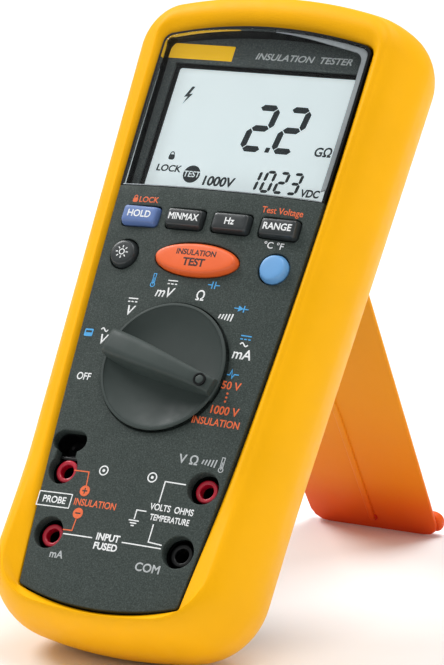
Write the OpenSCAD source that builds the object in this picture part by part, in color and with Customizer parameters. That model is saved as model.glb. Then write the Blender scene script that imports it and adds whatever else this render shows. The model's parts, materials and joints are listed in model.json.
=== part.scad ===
// Handheld insulation resistance tester in a soft holster, standing on its tilt stand.
// Everything is drawn lying down first: x across the face, y up the face, z out of the face,
// with z = 0 at the front of the holster. standing() then leans it back onto its stand.

/* [Holster] */
// Half of the holster's width at mid-length
half_width = 44; // [42:0.5:46]
// Half of the holster's length
half_length = 100.8; // [99:0.1:102]
// How much the half width grows over 100 mm towards the top
taper = 4.06; // [3:0.1:5]
// Depth from the front of the rim to the widest line of the side
front_depth = 13.1; // [12:0.1:14]
// Depth from the widest line to the back
back_depth = 24; // [23:0.5:25]
// Wall of the holster
holster_wall = 2.8; // [2.4:0.1:3]
// How far the rim's rounding rises beside the input jacks
rim_rise = 3.2; // [0:0.1:4]

/* [Control panel] */
// Half width of the panel at mid-length
panel_half = 32.5; // [32:0.1:33]
// How much the panel's half width grows over 100 mm
panel_taper = 5.07; // [4.8:0.1:5.3]
// How much the panel's sides bow in over 100 mm either way
panel_bow = 2.83; // [2.5:0.1:3.1]
// Top of the panel
panel_top = 88; // [87:0.5:89]
// Bottom of the panel, below the middle
panel_bottom = 93.3; // [92:0.5:94]
// Height of the panel's crown over the front of the holster
crown_top = 2.8; // [2:0.1:3]
// Radius of the crown across the panel
crown_r = 301; // [280:1:320]
// Lower edge of the display window
window_bottom = 34.3; // [33.5:0.1:35]

/* [Function knob] */
// Radius of the knob
knob_r = 19.1; // [18.5:0.1:19.3]
// Place of the knob along the panel
knob_y = -20.8; // [-21.5:0.1:-20]
// Top of the knob's grip
knob_top = 9.4; // [8.5:0.1:10]
// Direction of the pointer from +x
pointer_angle = -15; // [-20:1:-10]

/* [Input jacks] */
// Height between the two rows of jacks, the standard pitch
jack_pitch = 19.05; // [19.05]
// Upper row of jacks
jack_upper_y = -54; // [-55:0.5:-53]
// Half spacing of the upper row
jack_upper_x = 22.6; // [22:0.1:23]
// Half spacing of the lower row
jack_lower_x = 20.8; // [20:0.1:21.5]
// Bore radius for a 4 mm plug
plug_r = 2.03; // [2.01:0.01:2.05]

/* [Tilt stand] */
// How far the tester leans back from upright
lean = 34; // [30:1:36]
// Opening angle of the stand from the back
open_angle = 66.9; // [60:0.1:70]
// Length from the hinge to the foot
leg_length = 128.1; // [127:0.1:129]
// Width of the stand at the hinge
leg_width = 50; // [48:0.5:50]
// Thickness of the stand's plate
leg_plate = 3.2; // [2.6:0.1:3.6]

/* [Hidden] */
$fn = 64;
gap = 0.2;

// Height of the lying frame's origin over the surface, and its place in front of the middle
// of the footprint, once the tester stands
origin_up = 95.65;
origin_forward = 35.06;

// Rounding of the holster: how far its outline draws in towards the front and the back
side_front_in = 9;
top_front_in = 3;
bottom_front_in = 6.2;
top_back_in = 24;
bottom_back_in = 19.5;
front_power = 1.242;
top_arc = 138.5;
bottom_arc = 130;
top_corner = 14.8;
bottom_corner = 21;
flare = 0.8;
swell_from = -45;
swell_over = 45;
rim_front = 0.8;
rim_slope = 0.6;
rim_inner_rise = 1.4;
lip_under = 3.4;

// Case shells inside the holster
case_in = holster_wall + gap;
case_wall = 2.2;
shoulder_z = -3.8;
ceiling_z = -1.7;
panel_gap = 0.5;
back_z = -(front_depth + back_depth);

// Turns of the back rounding, shared by the holster and the case so that their facets run side
// by side, and the turns at which the front and rear shells end
back_turns = [9, 20, 40, 60, 75, 90];
split_front_turn = 6.2;
split_back_turn = back_turns[0];
split_front_z = -front_depth - (back_depth - case_in) * sin(split_front_turn);
split_back_z = -front_depth - (back_depth - case_in) * sin(split_back_turn);

case_back_z = back_z + case_in;
case_floor_z = case_back_z + 3;

// Display stack
lens_in = 0.9;
lens_wall = 1.8;
recess_in = 2.4;
mask_top_z = -3.6;
glass_top_z = -5.3;
glass_thick = 2.1;
view_half = 29.5;
view_low = 35;
view_high = 76;
holder_half = 33;
holder_low = 31;
holder_high = 80;

// Boards
board_top_z = -10.5;
board_thick = 1.6;
board_back_z = board_top_z - board_thick;
input_top_z = -25.4;
input_back_z = input_top_z - board_thick;

// Keys
key_travel = 1.2;
key_row_y = 24.6;
key_pitch = 15.05;
key_size = [12, 6];
key_row_2_y = 12.4;
key_proud = 1.7;
key_flange_z = -2;
key_bottom_z = -3;
round_key_x = 24.4;
round_key_r = 4.4;
test_key = [13.4, 5.1];

// Knob and switch
knob_recess_z = 0.4;
knob_floor_z = 4.6;
hub_r = 7;
spigot_r = 5;
rotor_top_z = -8;
rotor_thick = 1.6;
grip_start = 3.6;
grip_end = 2.6;
dot_x = 15.8;
dot_r = 1.55;

// Jacks
jack_hole_r = 4.65;
sleeve_r = 3.4;
sleeve_top_z = -0.6;
sleeve_bottom_z = -24;
contact_top_z = -3;
contact_bottom_z = -25.2;
contact_r = 2.8;
jack_lower_y = jack_upper_y - jack_pitch;
JACKS = [[-jack_upper_x, jack_upper_y], [jack_upper_x, jack_upper_y],
         [-jack_lower_x, jack_lower_y], [jack_lower_x, jack_lower_y]];

// Probe socket: a wide recess and a neck down to the upper left jack
probe_x = -23.1;
probe_y = -45.6;
probe_lobe_r = 3;
probe_lobe_x = 2.6;
probe_floor_z = -8.2;
probe_wall = 1.2;

// Battery bay
cell_r = 7.2;
cell_half = 25.1;
cell_pitch = 15.2;
cell_z = -22.8;
cell_low_y = -29.6;
tray_half = 27.8;
tray_low = -39;
tray_high = 25.4;
tray_wall = 1;
tray_floor_z = -14.2;
tray_back_z = -28.8;
door_half = 27.5;
door_low = -41;
door_high = 32;
door_thick = 1.5;
door_front_z = case_back_z + door_thick;
seal_thick = 0.4;
lock_x = 20;
lock_y = 27.5;
lock_r = 3.4;

// Screws
// Case screws: x, y, the underside of the head and the top of the post in the front shell
case_screws_at = [[18, 86, -26.5, shoulder_z - 1], [-18, 86, -26.5, shoulder_z - 1],
                  [21, -63, -30.7, ceiling_z], [-21, -63, -30.7, ceiling_z]];
// Board screws: x, y and the top of the post in the front shell
board_screws_at = [[32.4, 24, shoulder_z - 1], [-32.4, 24, shoulder_z - 1],
                   [27, -38, ceiling_z], [-27, -38, ceiling_z]];
post_r = 3.2;
board_post_r = 2.3;
case_screw_r = 1.5;
board_screw_r = 1.1;

// Stand hinge
hinge_y = 40;
hinge_z = -38;
barrel_r = 3;
pin_r = 1.5;
pin_gap = 0.05;
ear_start = 25.6;
ear_end = 29.6;
window_half = 28.4;
window_low = -80;
window_high = 34.5;

// ---- Outlines and lofted shells ----

function ease(t) = let (s = min(1, max(0, t))) s * s * (3 - 2 * s);
function swell(y) = ease((swell_from - y) / swell_over);
function side_x(y, half, slope, bulge, bow) =
    half + slope * y / 100 + bulge * swell(y) - bow * pow(y / 100, 2);

// Centre of a corner's rounding, found by closing in on the side line and the end arc
function corner_at(end, length, arc, r, half, slope, bulge, bow, y, n = 4) =
    let (x = side_x(y, half, slope, bulge, bow) - r)
    let (new_y = end * (length - arc + sqrt(max(1, pow(arc - r, 2) - x * x))))
    n == 0 ? [x, new_y]
           : corner_at(end, length, arc, r, half, slope, bulge, bow, new_y, n - 1);

// Closed outline of a long panel with slanted sides and arched ends
function outline(half, slope, top, bottom, arc_t, arc_b, r_t, r_b, bulge = 0, bow = 0) =
    let (low = corner_at(-1, bottom, arc_b, r_b, half, slope, bulge, bow, r_b - bottom))
    let (high = corner_at(1, top, arc_t, r_t, half, slope, bulge, bow, top - r_t))
    let (turn_b = asin(low[0] / (arc_b - r_b)), turn_t = asin(high[0] / (arc_t - r_t)))
    let (arcs = 4, corners = 5, sides = 8)
    let (right = concat(
        [for (i = [0 : arcs - 1]) let (a = turn_b * i / arcs)
            [arc_b * sin(a), -(bottom - arc_b) - arc_b * cos(a)]],
        [for (i = [0 : corners]) let (a = turn_b - 90 + (90 - turn_b) * i / corners)
            [low[0] + r_b * cos(a), low[1] + r_b * sin(a)]],
        [for (i = [1 : sides - 1]) let (y = low[1] + (high[1] - low[1]) * i / sides)
            [side_x(y, half, slope, bulge, bow), y]],
        [for (i = [0 : corners]) let (a = (90 - turn_t) * i / corners)
            [high[0] + r_t * cos(a), high[1] + r_t * sin(a)]],
        [for (i = [arcs - 1 : -1 : 0]) let (a = turn_t * i / arcs)
            [arc_t * sin(a), top - arc_t + arc_t * cos(a)]]))
    concat(right, [for (i = [len(right) - 2 : -1 : 1]) [-right[i][0], right[i][1]]]);

// Outline of the holster drawn in by the given amounts at its sides, top and bottom
function body_outline(side_in, top_in, bottom_in) =
    outline(half_width - side_in, taper, half_length - top_in, half_length - bottom_in,
            top_arc, bottom_arc, max(5, top_corner - 0.6 * side_in),
            max(8, bottom_corner - 0.6 * side_in), flare);

function panel_outline(inset) =
    outline(panel_half - inset, panel_taper, panel_top - inset, panel_bottom - inset,
            167, 78, 3, 1.2, 0, panel_bow);

function lift(points, z, rise = 0) = [for (p = points) [p[0], p[1], z + rise * swell(p[1])]];

// Rings of the front rounding, from the widest line to the rim, each drawn in by wall
function front_rings(wall, turns, rise) =
    [for (t = turns)
        let (g = 1 - pow(cos(t), front_power))
        lift(body_outline(wall + side_front_in * g, wall + top_front_in * g,
                          wall + bottom_front_in * g),
             -front_depth + (front_depth + rim_front) * pow(sin(t), front_power),
             rise * pow(sin(t), front_power))];

// Rings of the back rounding, from the widest line to the back, each drawn in by wall
function back_rings(wall, turns) =
    let (depth = back_depth - wall)
    [for (t = turns)
        let (g = 1 - cos(t))
        lift(body_outline(wall + depth * g, wall + (top_back_in - wall) * g,
                          wall + (bottom_back_in - wall) * g),
             -front_depth - depth * sin(t))];

function reversed(list) = [for (i = [len(list) - 1 : -1 : 0]) list[i]];

// Solid skin through rings of equal length, the first ring at the back
module loft(rings) {
    n = len(rings[0]);
    last = (len(rings) - 1) * n;
    points = [for (ring = rings) for (p = ring) p];
    sides = [for (k = [0 : len(rings) - 2]) for (i = [0 : n - 1])
        let (a = k * n + i, b = k * n + (i + 1) % n)
        for (face = [[a, a + n, b], [b, a + n, b + n]]) face];
    polyhedron(points, concat([[for (i = [0 : n - 1]) i]], sides,
                              [[for (i = [n - 1 : -1 : 0]) last + i]]));
}

// Everything in front of z = low that lies under the panel's crown, sunk by drop
module under_crown(drop = 0) {
    translate([0, 0, crown_top - crown_r])
        rotate([90, 0, 0])
            cylinder(r = crown_r - drop, h = 300, center = true, $fn = 256);
}

module panel_block(inset, low, high) {
    translate([0, 0, low])
        linear_extrude(high - low) polygon(panel_outline(inset));
}

// ---- Small shared shapes ----

module rounded_plate(size, r) {
    x = size[0] / 2 - r;
    y = size[1] / 2 - r;
    linear_extrude(size[2]) {
        square([size[0], 2 * y], center = true);
        square([2 * x, size[1]], center = true);
        for (i = [-1, 1], j = [-1, 1])
            translate([i * x, j * y]) circle(r);
    }
}

module block(x, y, z) {
    translate([x[0], y[0], z[0]]) cube([x[1] - x[0], y[1] - y[0], z[1] - z[0]]);
}

module ring(r, bore, low, high) {
    translate([0, 0, low]) difference() {
        cylinder(r = r, h = high - low);
        translate([0, 0, -1]) cylinder(r = bore, h = high - low + 2);
    }
}

module rod(r, low, high) {
    translate([0, 0, low]) cylinder(r = r, h = high - low);
}

module along_x(r, from, to) {
    translate([from, 0, 0]) rotate([0, 90, 0]) cylinder(r = r, h = to - from);
}

module oval(grow, low, high) {
    translate([0, 0, low]) linear_extrude(high - low)
        polygon([for (a = [0 : 7.5 : 352.5])
            [(test_key[0] + grow) * cos(a), (test_key[1] + grow) * sin(a)]]);
}

function crown_z(x) = crown_top - crown_r + sqrt(crown_r * crown_r - x * x);

// Leans the lying tester back and sets it down with the origin under its middle
module standing() {
    translate([0, -origin_forward, origin_up]) rotate([90 - lean, 0, 0]) children();
}

// ---- Holster and stand ----

module holster() {
    outer = concat(reversed(back_rings(0, [15, 30, 45, 60, 75, 90])),
                   front_rings(0, [0, 20, 40, 60, 75, 90], rim_rise));
    rim = [lift(panel_outline(0), rim_front - rim_slope, rim_inner_rise),
           lift(panel_outline(0), -lip_under)];
    cavity = concat([lift(body_outline(holster_wall + 4, holster_wall + 1.5,
                                       holster_wall + 3), -lip_under)],
                    reversed(front_rings(holster_wall, [0, 25], 0)),
                    back_rings(holster_wall, back_turns));
    color([0.98, 0.74, 0.05]) standing() {
        difference() {
            loft(concat(outer, rim, cavity));
            block([-window_half, window_half], [window_low, window_high],
                  [back_z - 1, case_back_z + 2.4]);
            block([-ear_start, ear_start], [window_high - 1, hinge_y + 3.8],
                  [back_z - 1, case_back_z + 1]);
            block([-ear_start, ear_start], [window_low - 10, window_low + 1],
                  [back_z - 1, back_z + 1.3]);
        }
        for (side = [-1, 1]) hinge_ear(side);
    }
}

module hinge_ear(side) {
    middle = side * (ear_start + ear_end) / 2;
    width = ear_end - ear_start;
    translate([middle, hinge_y, hinge_z]) difference() {
        union() {
            along_x(barrel_r, -width / 2, width / 2);
            translate([-width / 2, -barrel_r, 0]) cube([width, 2 * barrel_r, 3]);
        }
        along_x(pin_r, -width / 2 - 1, width / 2 + 1);
    }
}

// The leg lies along -y from its hinge when folded, and turns out by open_angle
module at_hinge() {
    standing() translate([0, hinge_y, hinge_z]) rotate([open_angle, 0, 0]) children();
}

module tilt_stand() {
    half = leg_width / 2;
    foot_half = 24.4;
    foot_from = leg_length - 12;
    plate_low = -leg_plate / 2 - 0.1;
    color([0.92, 0.58, 0.04]) at_hinge() difference() {
        union() {
            translate([0, 0, plate_low]) linear_extrude(leg_plate)
                polygon([[-half, 0], [half, 0], [half, -16], [22.8, -foot_from],
                         [22.8, -leg_length + 4], [19.5, -leg_length + 0.8],
                         [-19.5, -leg_length + 0.8], [-22.8, -leg_length + 4],
                         [-22.8, -foot_from], [-half, -16]]);
            along_x(barrel_r, -half, half);
            leg_foot(foot_half, plate_low);
            for (x = [-half + 2, half - 4])
                block([x, x + 2], [-foot_from + 4, -4], [plate_low - 1.6, plate_low]);
            block([-0.9, 0.9], [-leg_length + 1, -barrel_r], [plate_low, 2.1]);
        }
        for (side = [-1, 1])
            along_x(pin_r + pin_gap, side > 0 ? half - 5 : -half - 1, side > 0 ? half + 1 : 5 - half);
        standing_floor();
    }
}

// Thicker foot at the leg's end, with round ends
module leg_foot(foot_half, plate_low) {
    translate([0, -leg_length + 6.4, plate_low - 1.8])
        rounded_plate([2 * foot_half, 12.8, leg_plate + 1.8], 3);
}

// The half space under the surface, seen from the hinge's own frame
module standing_floor() {
    rotate([-open_angle, 0, 0]) translate([0, -hinge_y, -hinge_z])
        rotate([lean - 90, 0, 0]) translate([-50, origin_forward - 100, -origin_up - 20])
            cube([100, 300, 20]);
}

module stand_pins() {
    color("silver") standing() translate([0, hinge_y, hinge_z])
        for (side = [-1, 1])
            along_x(pin_r, side > 0 ? 20.4 : -ear_end, side > 0 ? ear_end : -20.4);
}

// ---- Case shells ----

module front_case_outside() {
    loft(concat(back_rings(case_in, [split_front_turn]), front_rings(case_in, [0, 25], 0),
                [lift(body_outline(case_in + 4, case_in + 1.5, case_in + 3), shoulder_z)]));
    intersection() {
        panel_block(panel_gap, shoulder_z - 1, 6);
        under_crown();
    }
}

module front_case_inside() {
    inner = case_in + case_wall;
    loft([lift(body_outline(inner, inner, inner), split_front_z - 1),
          lift(body_outline(inner, inner, inner), -10),
          lift(body_outline(inner + 3, inner + 1.5, inner + 3), shoulder_z - case_wall)]);
    panel_block(panel_gap + case_wall, shoulder_z - case_wall - 1, ceiling_z);
}

module window_cut() {
    difference() {
        union() {
            panel_block(recess_in, ceiling_z - 5, 6);
            difference() {
                panel_block(lens_in - 0.05, -2, 6);
                under_crown(lens_wall);
            }
        }
        block([-60, 60], [-120, window_bottom], [-20, 20]);
    }
}

module key_holes() {
    for (k = [-1.5 : 1 : 1.5])
        translate([k * key_pitch, key_row_y, -8])
            rounded_plate([key_size[0] + 0.6, key_size[1] + 0.6, 16], 1.3);
    for (side = [-1, 1])
        translate([side * round_key_x, key_row_2_y, 0]) rod(round_key_r + 0.3, -8, 8);
    translate([0, key_row_2_y, 0]) oval(0.3, -8, 8);
}

module probe_shape(grow, low, high) {
    r = probe_lobe_r + grow;
    for (side = [-1, 1])
        translate([probe_x + side * probe_lobe_x, probe_y, 0]) rod(r, low, high);
    block([probe_x - probe_lobe_x, probe_x + probe_lobe_x], [probe_y - r, probe_y + r], [low, high]);
    block([probe_x - 3.3 - grow, probe_x + 3.4 + grow], [probe_y - 6, probe_y], [low, high]);
}

module front_case() {
    color([0.3, 0.32, 0.31]) standing() difference() {
        union() {
            difference() {
                front_case_outside();
                front_case_inside();
            }
            for (p = board_screws_at)
                translate([p[0], p[1], 0]) rod(board_post_r, board_top_z, p[2]);
            for (p = case_screws_at)
                translate([p[0], p[1], 0]) rod(post_r, split_front_z + 1, p[3]);
        }
        window_cut();
        key_holes();
        translate([0, knob_y, 0]) {
            rod(knob_r + 0.5, knob_recess_z, 8);
            rod(hub_r + 1.4, -8, 8);
        }
        for (p = JACKS) translate([p[0], p[1], 0]) rod(jack_hole_r, -8, 8);
        probe_shape(0, probe_floor_z, 8);
        for (p = board_screws_at)
            translate([p[0], p[1], 0]) rod(board_screw_r, board_top_z - 1, -4);
        for (p = case_screws_at)
            translate([p[0], p[1], 0]) rod(case_screw_r, split_front_z - 1, -8.5);
    }
}

module rear_case() {
    inner = case_in + case_wall;
    color([0.24, 0.25, 0.25]) standing() difference() {
        union() {
            difference() {
                rear_case_outside();
                loft(concat(reversed(rear_inner_rings(inner)),
                            [lift(body_outline(inner, inner, inner), split_back_z + 1)]));
            }
            for (p = case_screws_at)
                translate([p[0], p[1], 0]) rod(post_r, p[2] - 1.2, split_back_z + 0.6);
        }
        block([-door_half - gap, door_half + gap], [door_low - gap, door_high + gap],
              [case_back_z - 2, door_front_z + seal_thick]);
        block([-tray_half + 2.4, tray_half - 2.4], [tray_low + 0.8, tray_high - 1.6],
              [case_back_z - 2, case_floor_z + 2]);
        for (side = [-1, 1])
            translate([side * lock_x, lock_y, 0]) rod(2.7, case_back_z - 2, case_floor_z + 2);
        for (p = case_screws_at) translate([p[0], p[1], 0]) {
            rod(case_screw_r + 0.1, case_back_z - 2, split_back_z + 2);
            rod(2.9, case_back_z - 2, p[2]);
        }
    }
}

module rear_case_outside() {
    loft(reversed(back_rings(case_in, back_turns)));
}

function rear_inner_rings(inner) =
    [for (ring = back_rings(inner, [22, 45, 65, 80]))
        [for (p = ring) [p[0], p[1], max(p[2], case_floor_z)]]];

module case_gasket() {
    color([0.1, 0.1, 0.1]) standing() difference() {
        translate([0, 0, split_back_z])
            linear_extrude(split_front_z - split_back_z)
                polygon(body_outline(case_in + 0.4, case_in + 0.4, case_in + 0.4));
        translate([0, 0, split_back_z - 1])
            linear_extrude(3) polygon(body_outline(case_in + 1.8, case_in + 1.8, case_in + 1.8));
    }
}

// ---- Display ----

module display_window() {
    color([0.8, 0.86, 0.88, 0.35]) standing() difference() {
        intersection() {
            panel_block(lens_in, -2, 6);
            under_crown();
            block([-60, 60], [window_bottom + 0.1, 120], [-20, 20]);
        }
        under_crown(lens_wall);
    }
}

module display_mask() {
    color([0.36, 0.38, 0.37]) standing() difference() {
        intersection() {
            panel_block(recess_in + 0.3, glass_top_z + 0.1, mask_top_z);
            block([-60, 60], [window_bottom + 0.15, 120], [-20, 20]);
        }
        block([-view_half, view_half], [view_low, view_high], [-8, 0]);
    }
}

module display_glass() {
    color([0.82, 0.87, 0.88]) standing()
        block([-31, 31], [33, 78], [glass_top_z - glass_thick, glass_top_z]);
}

module display_holder() {
    color([0.85, 0.85, 0.82]) standing() difference() {
        block([-holder_half, holder_half], [holder_low, holder_high],
              [board_top_z + 0.1, glass_top_z - 0.9]);
        block([-31.2, 31.2], [32.7, 78.3], [-20, 0]);
    }
}

module backlight_panel() {
    color([0.95, 0.95, 0.9]) standing()
        block([-31, 31], [36.5, 77.5], [-9.4, glass_top_z - glass_thick - 0.05]);
}

module contact_strips() {
    color([0.2, 0.2, 0.2]) standing()
        for (side = [-1, 1])
            block([side * 15 - 14, side * 15 + 14], [33.2, 35.6],
                  [board_top_z, glass_top_z - glass_thick]);
}

// ---- Keys ----

module key_mat() {
    color([0.2, 0.2, 0.22]) standing() difference() {
        block([-29.4, 29.4], [6, 29.6], [-5.4, key_bottom_z - key_travel - 0.2]);
        for (p = board_screws_at) translate([p[0], p[1], 0]) rod(board_post_r + 0.3, -8, 0);
    }
}

module key_cap(index) {
    x = (index - 1.5) * key_pitch;
    top = crown_z(x) + key_proud;
    translate([x, key_row_y, key_bottom_z]) {
        rounded_plate([key_size[0], key_size[1], top - key_bottom_z], 1);
        rounded_plate([key_size[0] + 1.6, key_size[1] + 1.6, key_flange_z - key_bottom_z], 1.5);
    }
}

module hold_key() {
    color([0.41, 0.51, 0.73]) standing() key_cap(0);
}

module minmax_key() {
    color([0.23, 0.25, 0.26]) standing() key_cap(1);
}

module hertz_key() {
    color([0.23, 0.25, 0.26]) standing() key_cap(2);
}

module range_key() {
    color([0.23, 0.25, 0.26]) standing() key_cap(3);
}

module round_key(side) {
    top = crown_z(round_key_x) + key_proud;
    translate([side * round_key_x, key_row_2_y, 0]) {
        rod(round_key_r, key_bottom_z, top);
        rod(round_key_r + 0.8, key_bottom_z, key_flange_z);
    }
}

module backlight_key() {
    color([0.23, 0.25, 0.26]) standing() round_key(-1);
}

module shift_key() {
    color([0.42, 0.66, 0.88]) standing() round_key(1);
}

module test_key_cap() {
    color([0.94, 0.42, 0.18]) standing() translate([0, key_row_2_y, 0]) {
        oval(0, key_bottom_z, crown_top + key_proud);
        oval(0.8, key_bottom_z, key_flange_z);
    }
}

// ---- Knob and switch ----

module at_knob() {
    standing() translate([0, knob_y, 0]) rotate([0, 0, pointer_angle]) children();
}

module function_knob() {
    color([0.22, 0.25, 0.25]) at_knob() {
        rotate_extrude()
            polygon([[0, knob_recess_z + 0.3], [knob_r - 0.4, knob_recess_z + 0.3],
                     [knob_r, knob_recess_z + 0.9], [knob_r, knob_floor_z - 0.5],
                     [knob_r - 0.5, knob_floor_z], [knob_r - 2.5, knob_floor_z - 0.9],
                     [knob_r - 6, knob_floor_z - 2], [8, knob_floor_z - 2.8],
                     [0, knob_floor_z - 3]]);
        knob_grip();
        rod(hub_r, rotor_top_z, knob_recess_z + 1);
        rod(spigot_r, rotor_top_z - rotor_thick, rotor_top_z + 1);
    }
}

// Raised bar across the knob, narrower at the pointer, with a dimple for the dot
module knob_grip() {
    difference() {
        intersection() {
            translate([0, 0, knob_floor_z - 3.4]) linear_extrude(knob_top - knob_floor_z + 3.4)
                polygon([[-knob_r, -grip_start], [0, -grip_start], [knob_r, -grip_end],
                         [knob_r, grip_end], [0, grip_start], [-knob_r, grip_start]]);
            rod(knob_r - 0.1, 0, knob_top + 1);
            translate([0, 0, knob_top - 120]) rotate([90, 0, 0])
                cylinder(r = 120, h = 40, center = true, $fn = 200);
        }
        translate([dot_x, 0, 0]) rod(dot_r + 0.05, knob_top - 2.8, knob_top + 1);
    }
}

module knob_dot() {
    color([0.16, 0.18, 0.18]) at_knob() translate([dot_x, 0, 0])
        rod(dot_r, knob_top - 2.8, knob_top - 0.9);
}

module knob_seal() {
    color([0.1, 0.1, 0.1]) standing() translate([0, knob_y, 0])
        ring(hub_r + 1.35, hub_r + 0.06, ceiling_z + 0.2, ceiling_z + 1.8);
}

module switch_rotor() {
    color([0.9, 0.88, 0.8]) at_knob() {
        ring(16.5, spigot_r, rotor_top_z - rotor_thick, rotor_top_z);
        for (a = [15 : 30 : 345])
            rotate([0, 0, a]) translate([15, 0, 0]) rod(0.8, rotor_top_z, rotor_top_z + 0.4);
    }
}

module rotor_contacts() {
    color([0.85, 0.65, 0.3]) at_knob()
        for (r = [7.5, 10.5, 13.5]) difference() {
            ring(r + 0.7, r - 0.7, rotor_top_z - rotor_thick - 0.7, rotor_top_z - rotor_thick);
            block([-20, 20], [-20, 2 - r], [-20, 0]);
        }
}

module detent_spring() {
    color("silver") standing() translate([0, knob_y, 0]) {
        ring(14, 11.5, -7.3, -6.8);
        for (side = [-1, 1]) translate([side * 16, 0, 0]) rod(1.4, -7.4, ceiling_z);
        for (side = [-1, 1]) block([side * 14.6 - 1.6, side * 14.6 + 1.6], [-1, 1], [-7.3, -6.8]);
    }
}

// ---- Boards and their parts ----

module board_holes() {
    for (p = JACKS) translate([p[0], p[1], 0]) rod(sleeve_r + 0.5, -30, 0);
    for (p = case_screws_at) translate([p[0], p[1], 0]) rod(post_r + 0.4, -30, 0);
}

module main_board() {
    color([0.12, 0.4, 0.2]) standing() difference() {
        translate([0, 0, board_back_z]) linear_extrude(board_thick)
            polygon(outline(33, 5, 81, 88, 167, 90, 3, 12));
        board_holes();
        translate([0, knob_y, 0]) rod(spigot_r + 0.7, -30, 0);
        for (p = board_screws_at) translate([p[0], p[1], 0]) rod(board_screw_r + 0.2, -30, 0);
    }
}

module input_board() {
    color([0.12, 0.4, 0.2]) standing() difference() {
        block([-26, 26], [-81, -45], [input_back_z, input_top_z]);
        for (p = case_screws_at) translate([p[0], p[1], 0]) rod(post_r + 0.4, -30, 0);
        for (p = JACKS) translate([p[0], p[1], 0]) rod(1.3, -30, 0);
    }
}

module board_connector() {
    color([0.9, 0.9, 0.85]) standing()
        block([-8, 8], [-80.5, -76.5], [input_top_z, board_back_z]);
}

module jack_sleeve(p) {
    translate([p[0], p[1], 0]) difference() {
        union() {
            rod(sleeve_r, sleeve_bottom_z, sleeve_top_z);
            rod(4.4, sleeve_bottom_z, sleeve_bottom_z + 2);
        }
        rod(plug_r, contact_top_z - 1, 2);
        rod(contact_r + 0.05, sleeve_bottom_z - 1, contact_top_z + 0.05);
    }
}

module red_jack_sleeves() {
    color([0.78, 0.12, 0.22]) standing()
        for (i = [0 : 2]) jack_sleeve(JACKS[i]);
}

module black_jack_sleeve() {
    color([0.08, 0.08, 0.08]) standing() jack_sleeve(JACKS[3]);
}

module jack_contacts() {
    color([0.85, 0.68, 0.32]) standing()
        for (p = JACKS) translate([p[0], p[1], 0]) {
            ring(contact_r, plug_r, contact_bottom_z + 1, contact_top_z);
            rod(contact_r, contact_bottom_z - 0.2, contact_bottom_z + 1);
            rod(1.2, input_back_z - 1, contact_bottom_z);
        }
}

module probe_socket() {
    shelf_z = shoulder_z - case_wall - 0.1;
    color([0.06, 0.06, 0.06]) standing() difference() {
        intersection() {
            union() {
                probe_shape(probe_wall, probe_floor_z - probe_wall, shelf_z);
                intersection() {
                    probe_shape(probe_wall, shelf_z - 0.1, ceiling_z - 0.1);
                    panel_block(panel_gap + case_wall + 0.2, -20, 0);
                }
            }
            block([-40, 0], [jack_upper_y + sleeve_r + 1.4, 0], [-20, 20]);
        }
        probe_shape(0, probe_floor_z, 8);
        translate([JACKS[0][0], JACKS[0][1], 0]) rod(jack_hole_r, -30, 8);
        for (p = board_screws_at) translate([p[0], p[1], 0]) rod(board_post_r + 0.2, -30, 0);
    }
}

module probe_contacts() {
    color([0.85, 0.68, 0.32]) standing()
        for (side = [-1, 1])
            translate([probe_x + side * probe_lobe_x, probe_y, 0])
                rod(0.5, probe_floor_z, probe_floor_z + 3);
}

module fuse() {
    color([0.86, 0.84, 0.78]) standing() translate([0, -69, -19.4])
        along_x(3.1, -14, 14);
}

module fuse_clips() {
    color([0.85, 0.68, 0.32]) standing() translate([0, -69, -19.4])
        for (x = [-13, 9]) difference() {
            union() {
                along_x(3.7, x, x + 4);
                block([x, x + 4], [-3.7, 3.7], [input_top_z + 19.4, 0]);
            }
            along_x(3.15, x - 1, x + 5);
            block([x - 1, x + 5], [-2.2, 2.2], [0, 6]);
        }
}

module transformer_core() {
    color([0.2, 0.2, 0.22]) standing() difference() {
        block([6, 24], [34, 54], [-27.4, board_back_z]);
        block([9, 21], [33, 55], [-25, -14.6]);
    }
}

module transformer_coil() {
    color([0.85, 0.6, 0.2]) standing()
        block([9.2, 20.8], [35.5, 52.5], [-24.8, -14.8]);
}

module relays() {
    color([0.95, 0.95, 0.92]) standing()
        for (y = [58, 70]) block([6, 25], [y, y + 10], [-22, board_back_z]);
}

module capacitors() {
    color([0.15, 0.2, 0.45]) standing()
        for (p = [[-10, 40], [-10, 52], [-22, 66], [-10, 66]])
            translate([p[0], p[1], 0]) rod(4.6, -25, board_back_z);
}

module varistors() {
    color([0.15, 0.35, 0.75]) standing()
        for (x = [-12, -4, 4, 12])
            translate([x - 1.6, -50.5, input_top_z + 5.2]) along_x(5.2, 0, 3.2);
}

module chips() {
    color([0.12, 0.12, 0.13]) standing() {
        block([-30, -19], [38, 49], [-13.4, board_back_z]);
        block([-31, -21], [52, 60], [-13.4, board_back_z]);
        block([27.4, 33], [42, 52], [-13.4, board_back_z]);
        block([-9, 3], [-50, -42], [board_top_z, board_top_z + 1.2]);
    }
}

module buzzer() {
    color([0.1, 0.1, 0.1]) standing() translate([-30, 74, 0])
        ring(5.5, 1, -18, board_back_z);
}

module board_shield() {
    color("silver") standing() difference() {
        block([-31, 31], [-36, 8], [-13.8, board_back_z - 0.1]);
        block([-30.6, 30.6], [-35.6, 7.6], [-13.4, 0]);
        for (p = board_screws_at) translate([p[0], p[1], 0]) rod(3.2, -30, 0);
    }
}

module board_screws() {
    color("silver") standing()
        for (p = board_screws_at) translate([p[0], p[1], 0]) {
            rod(board_screw_r, board_back_z - 0.5, -4.2);
            rod(2.3, board_back_z - 1.5, board_back_z);
        }
}

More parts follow.
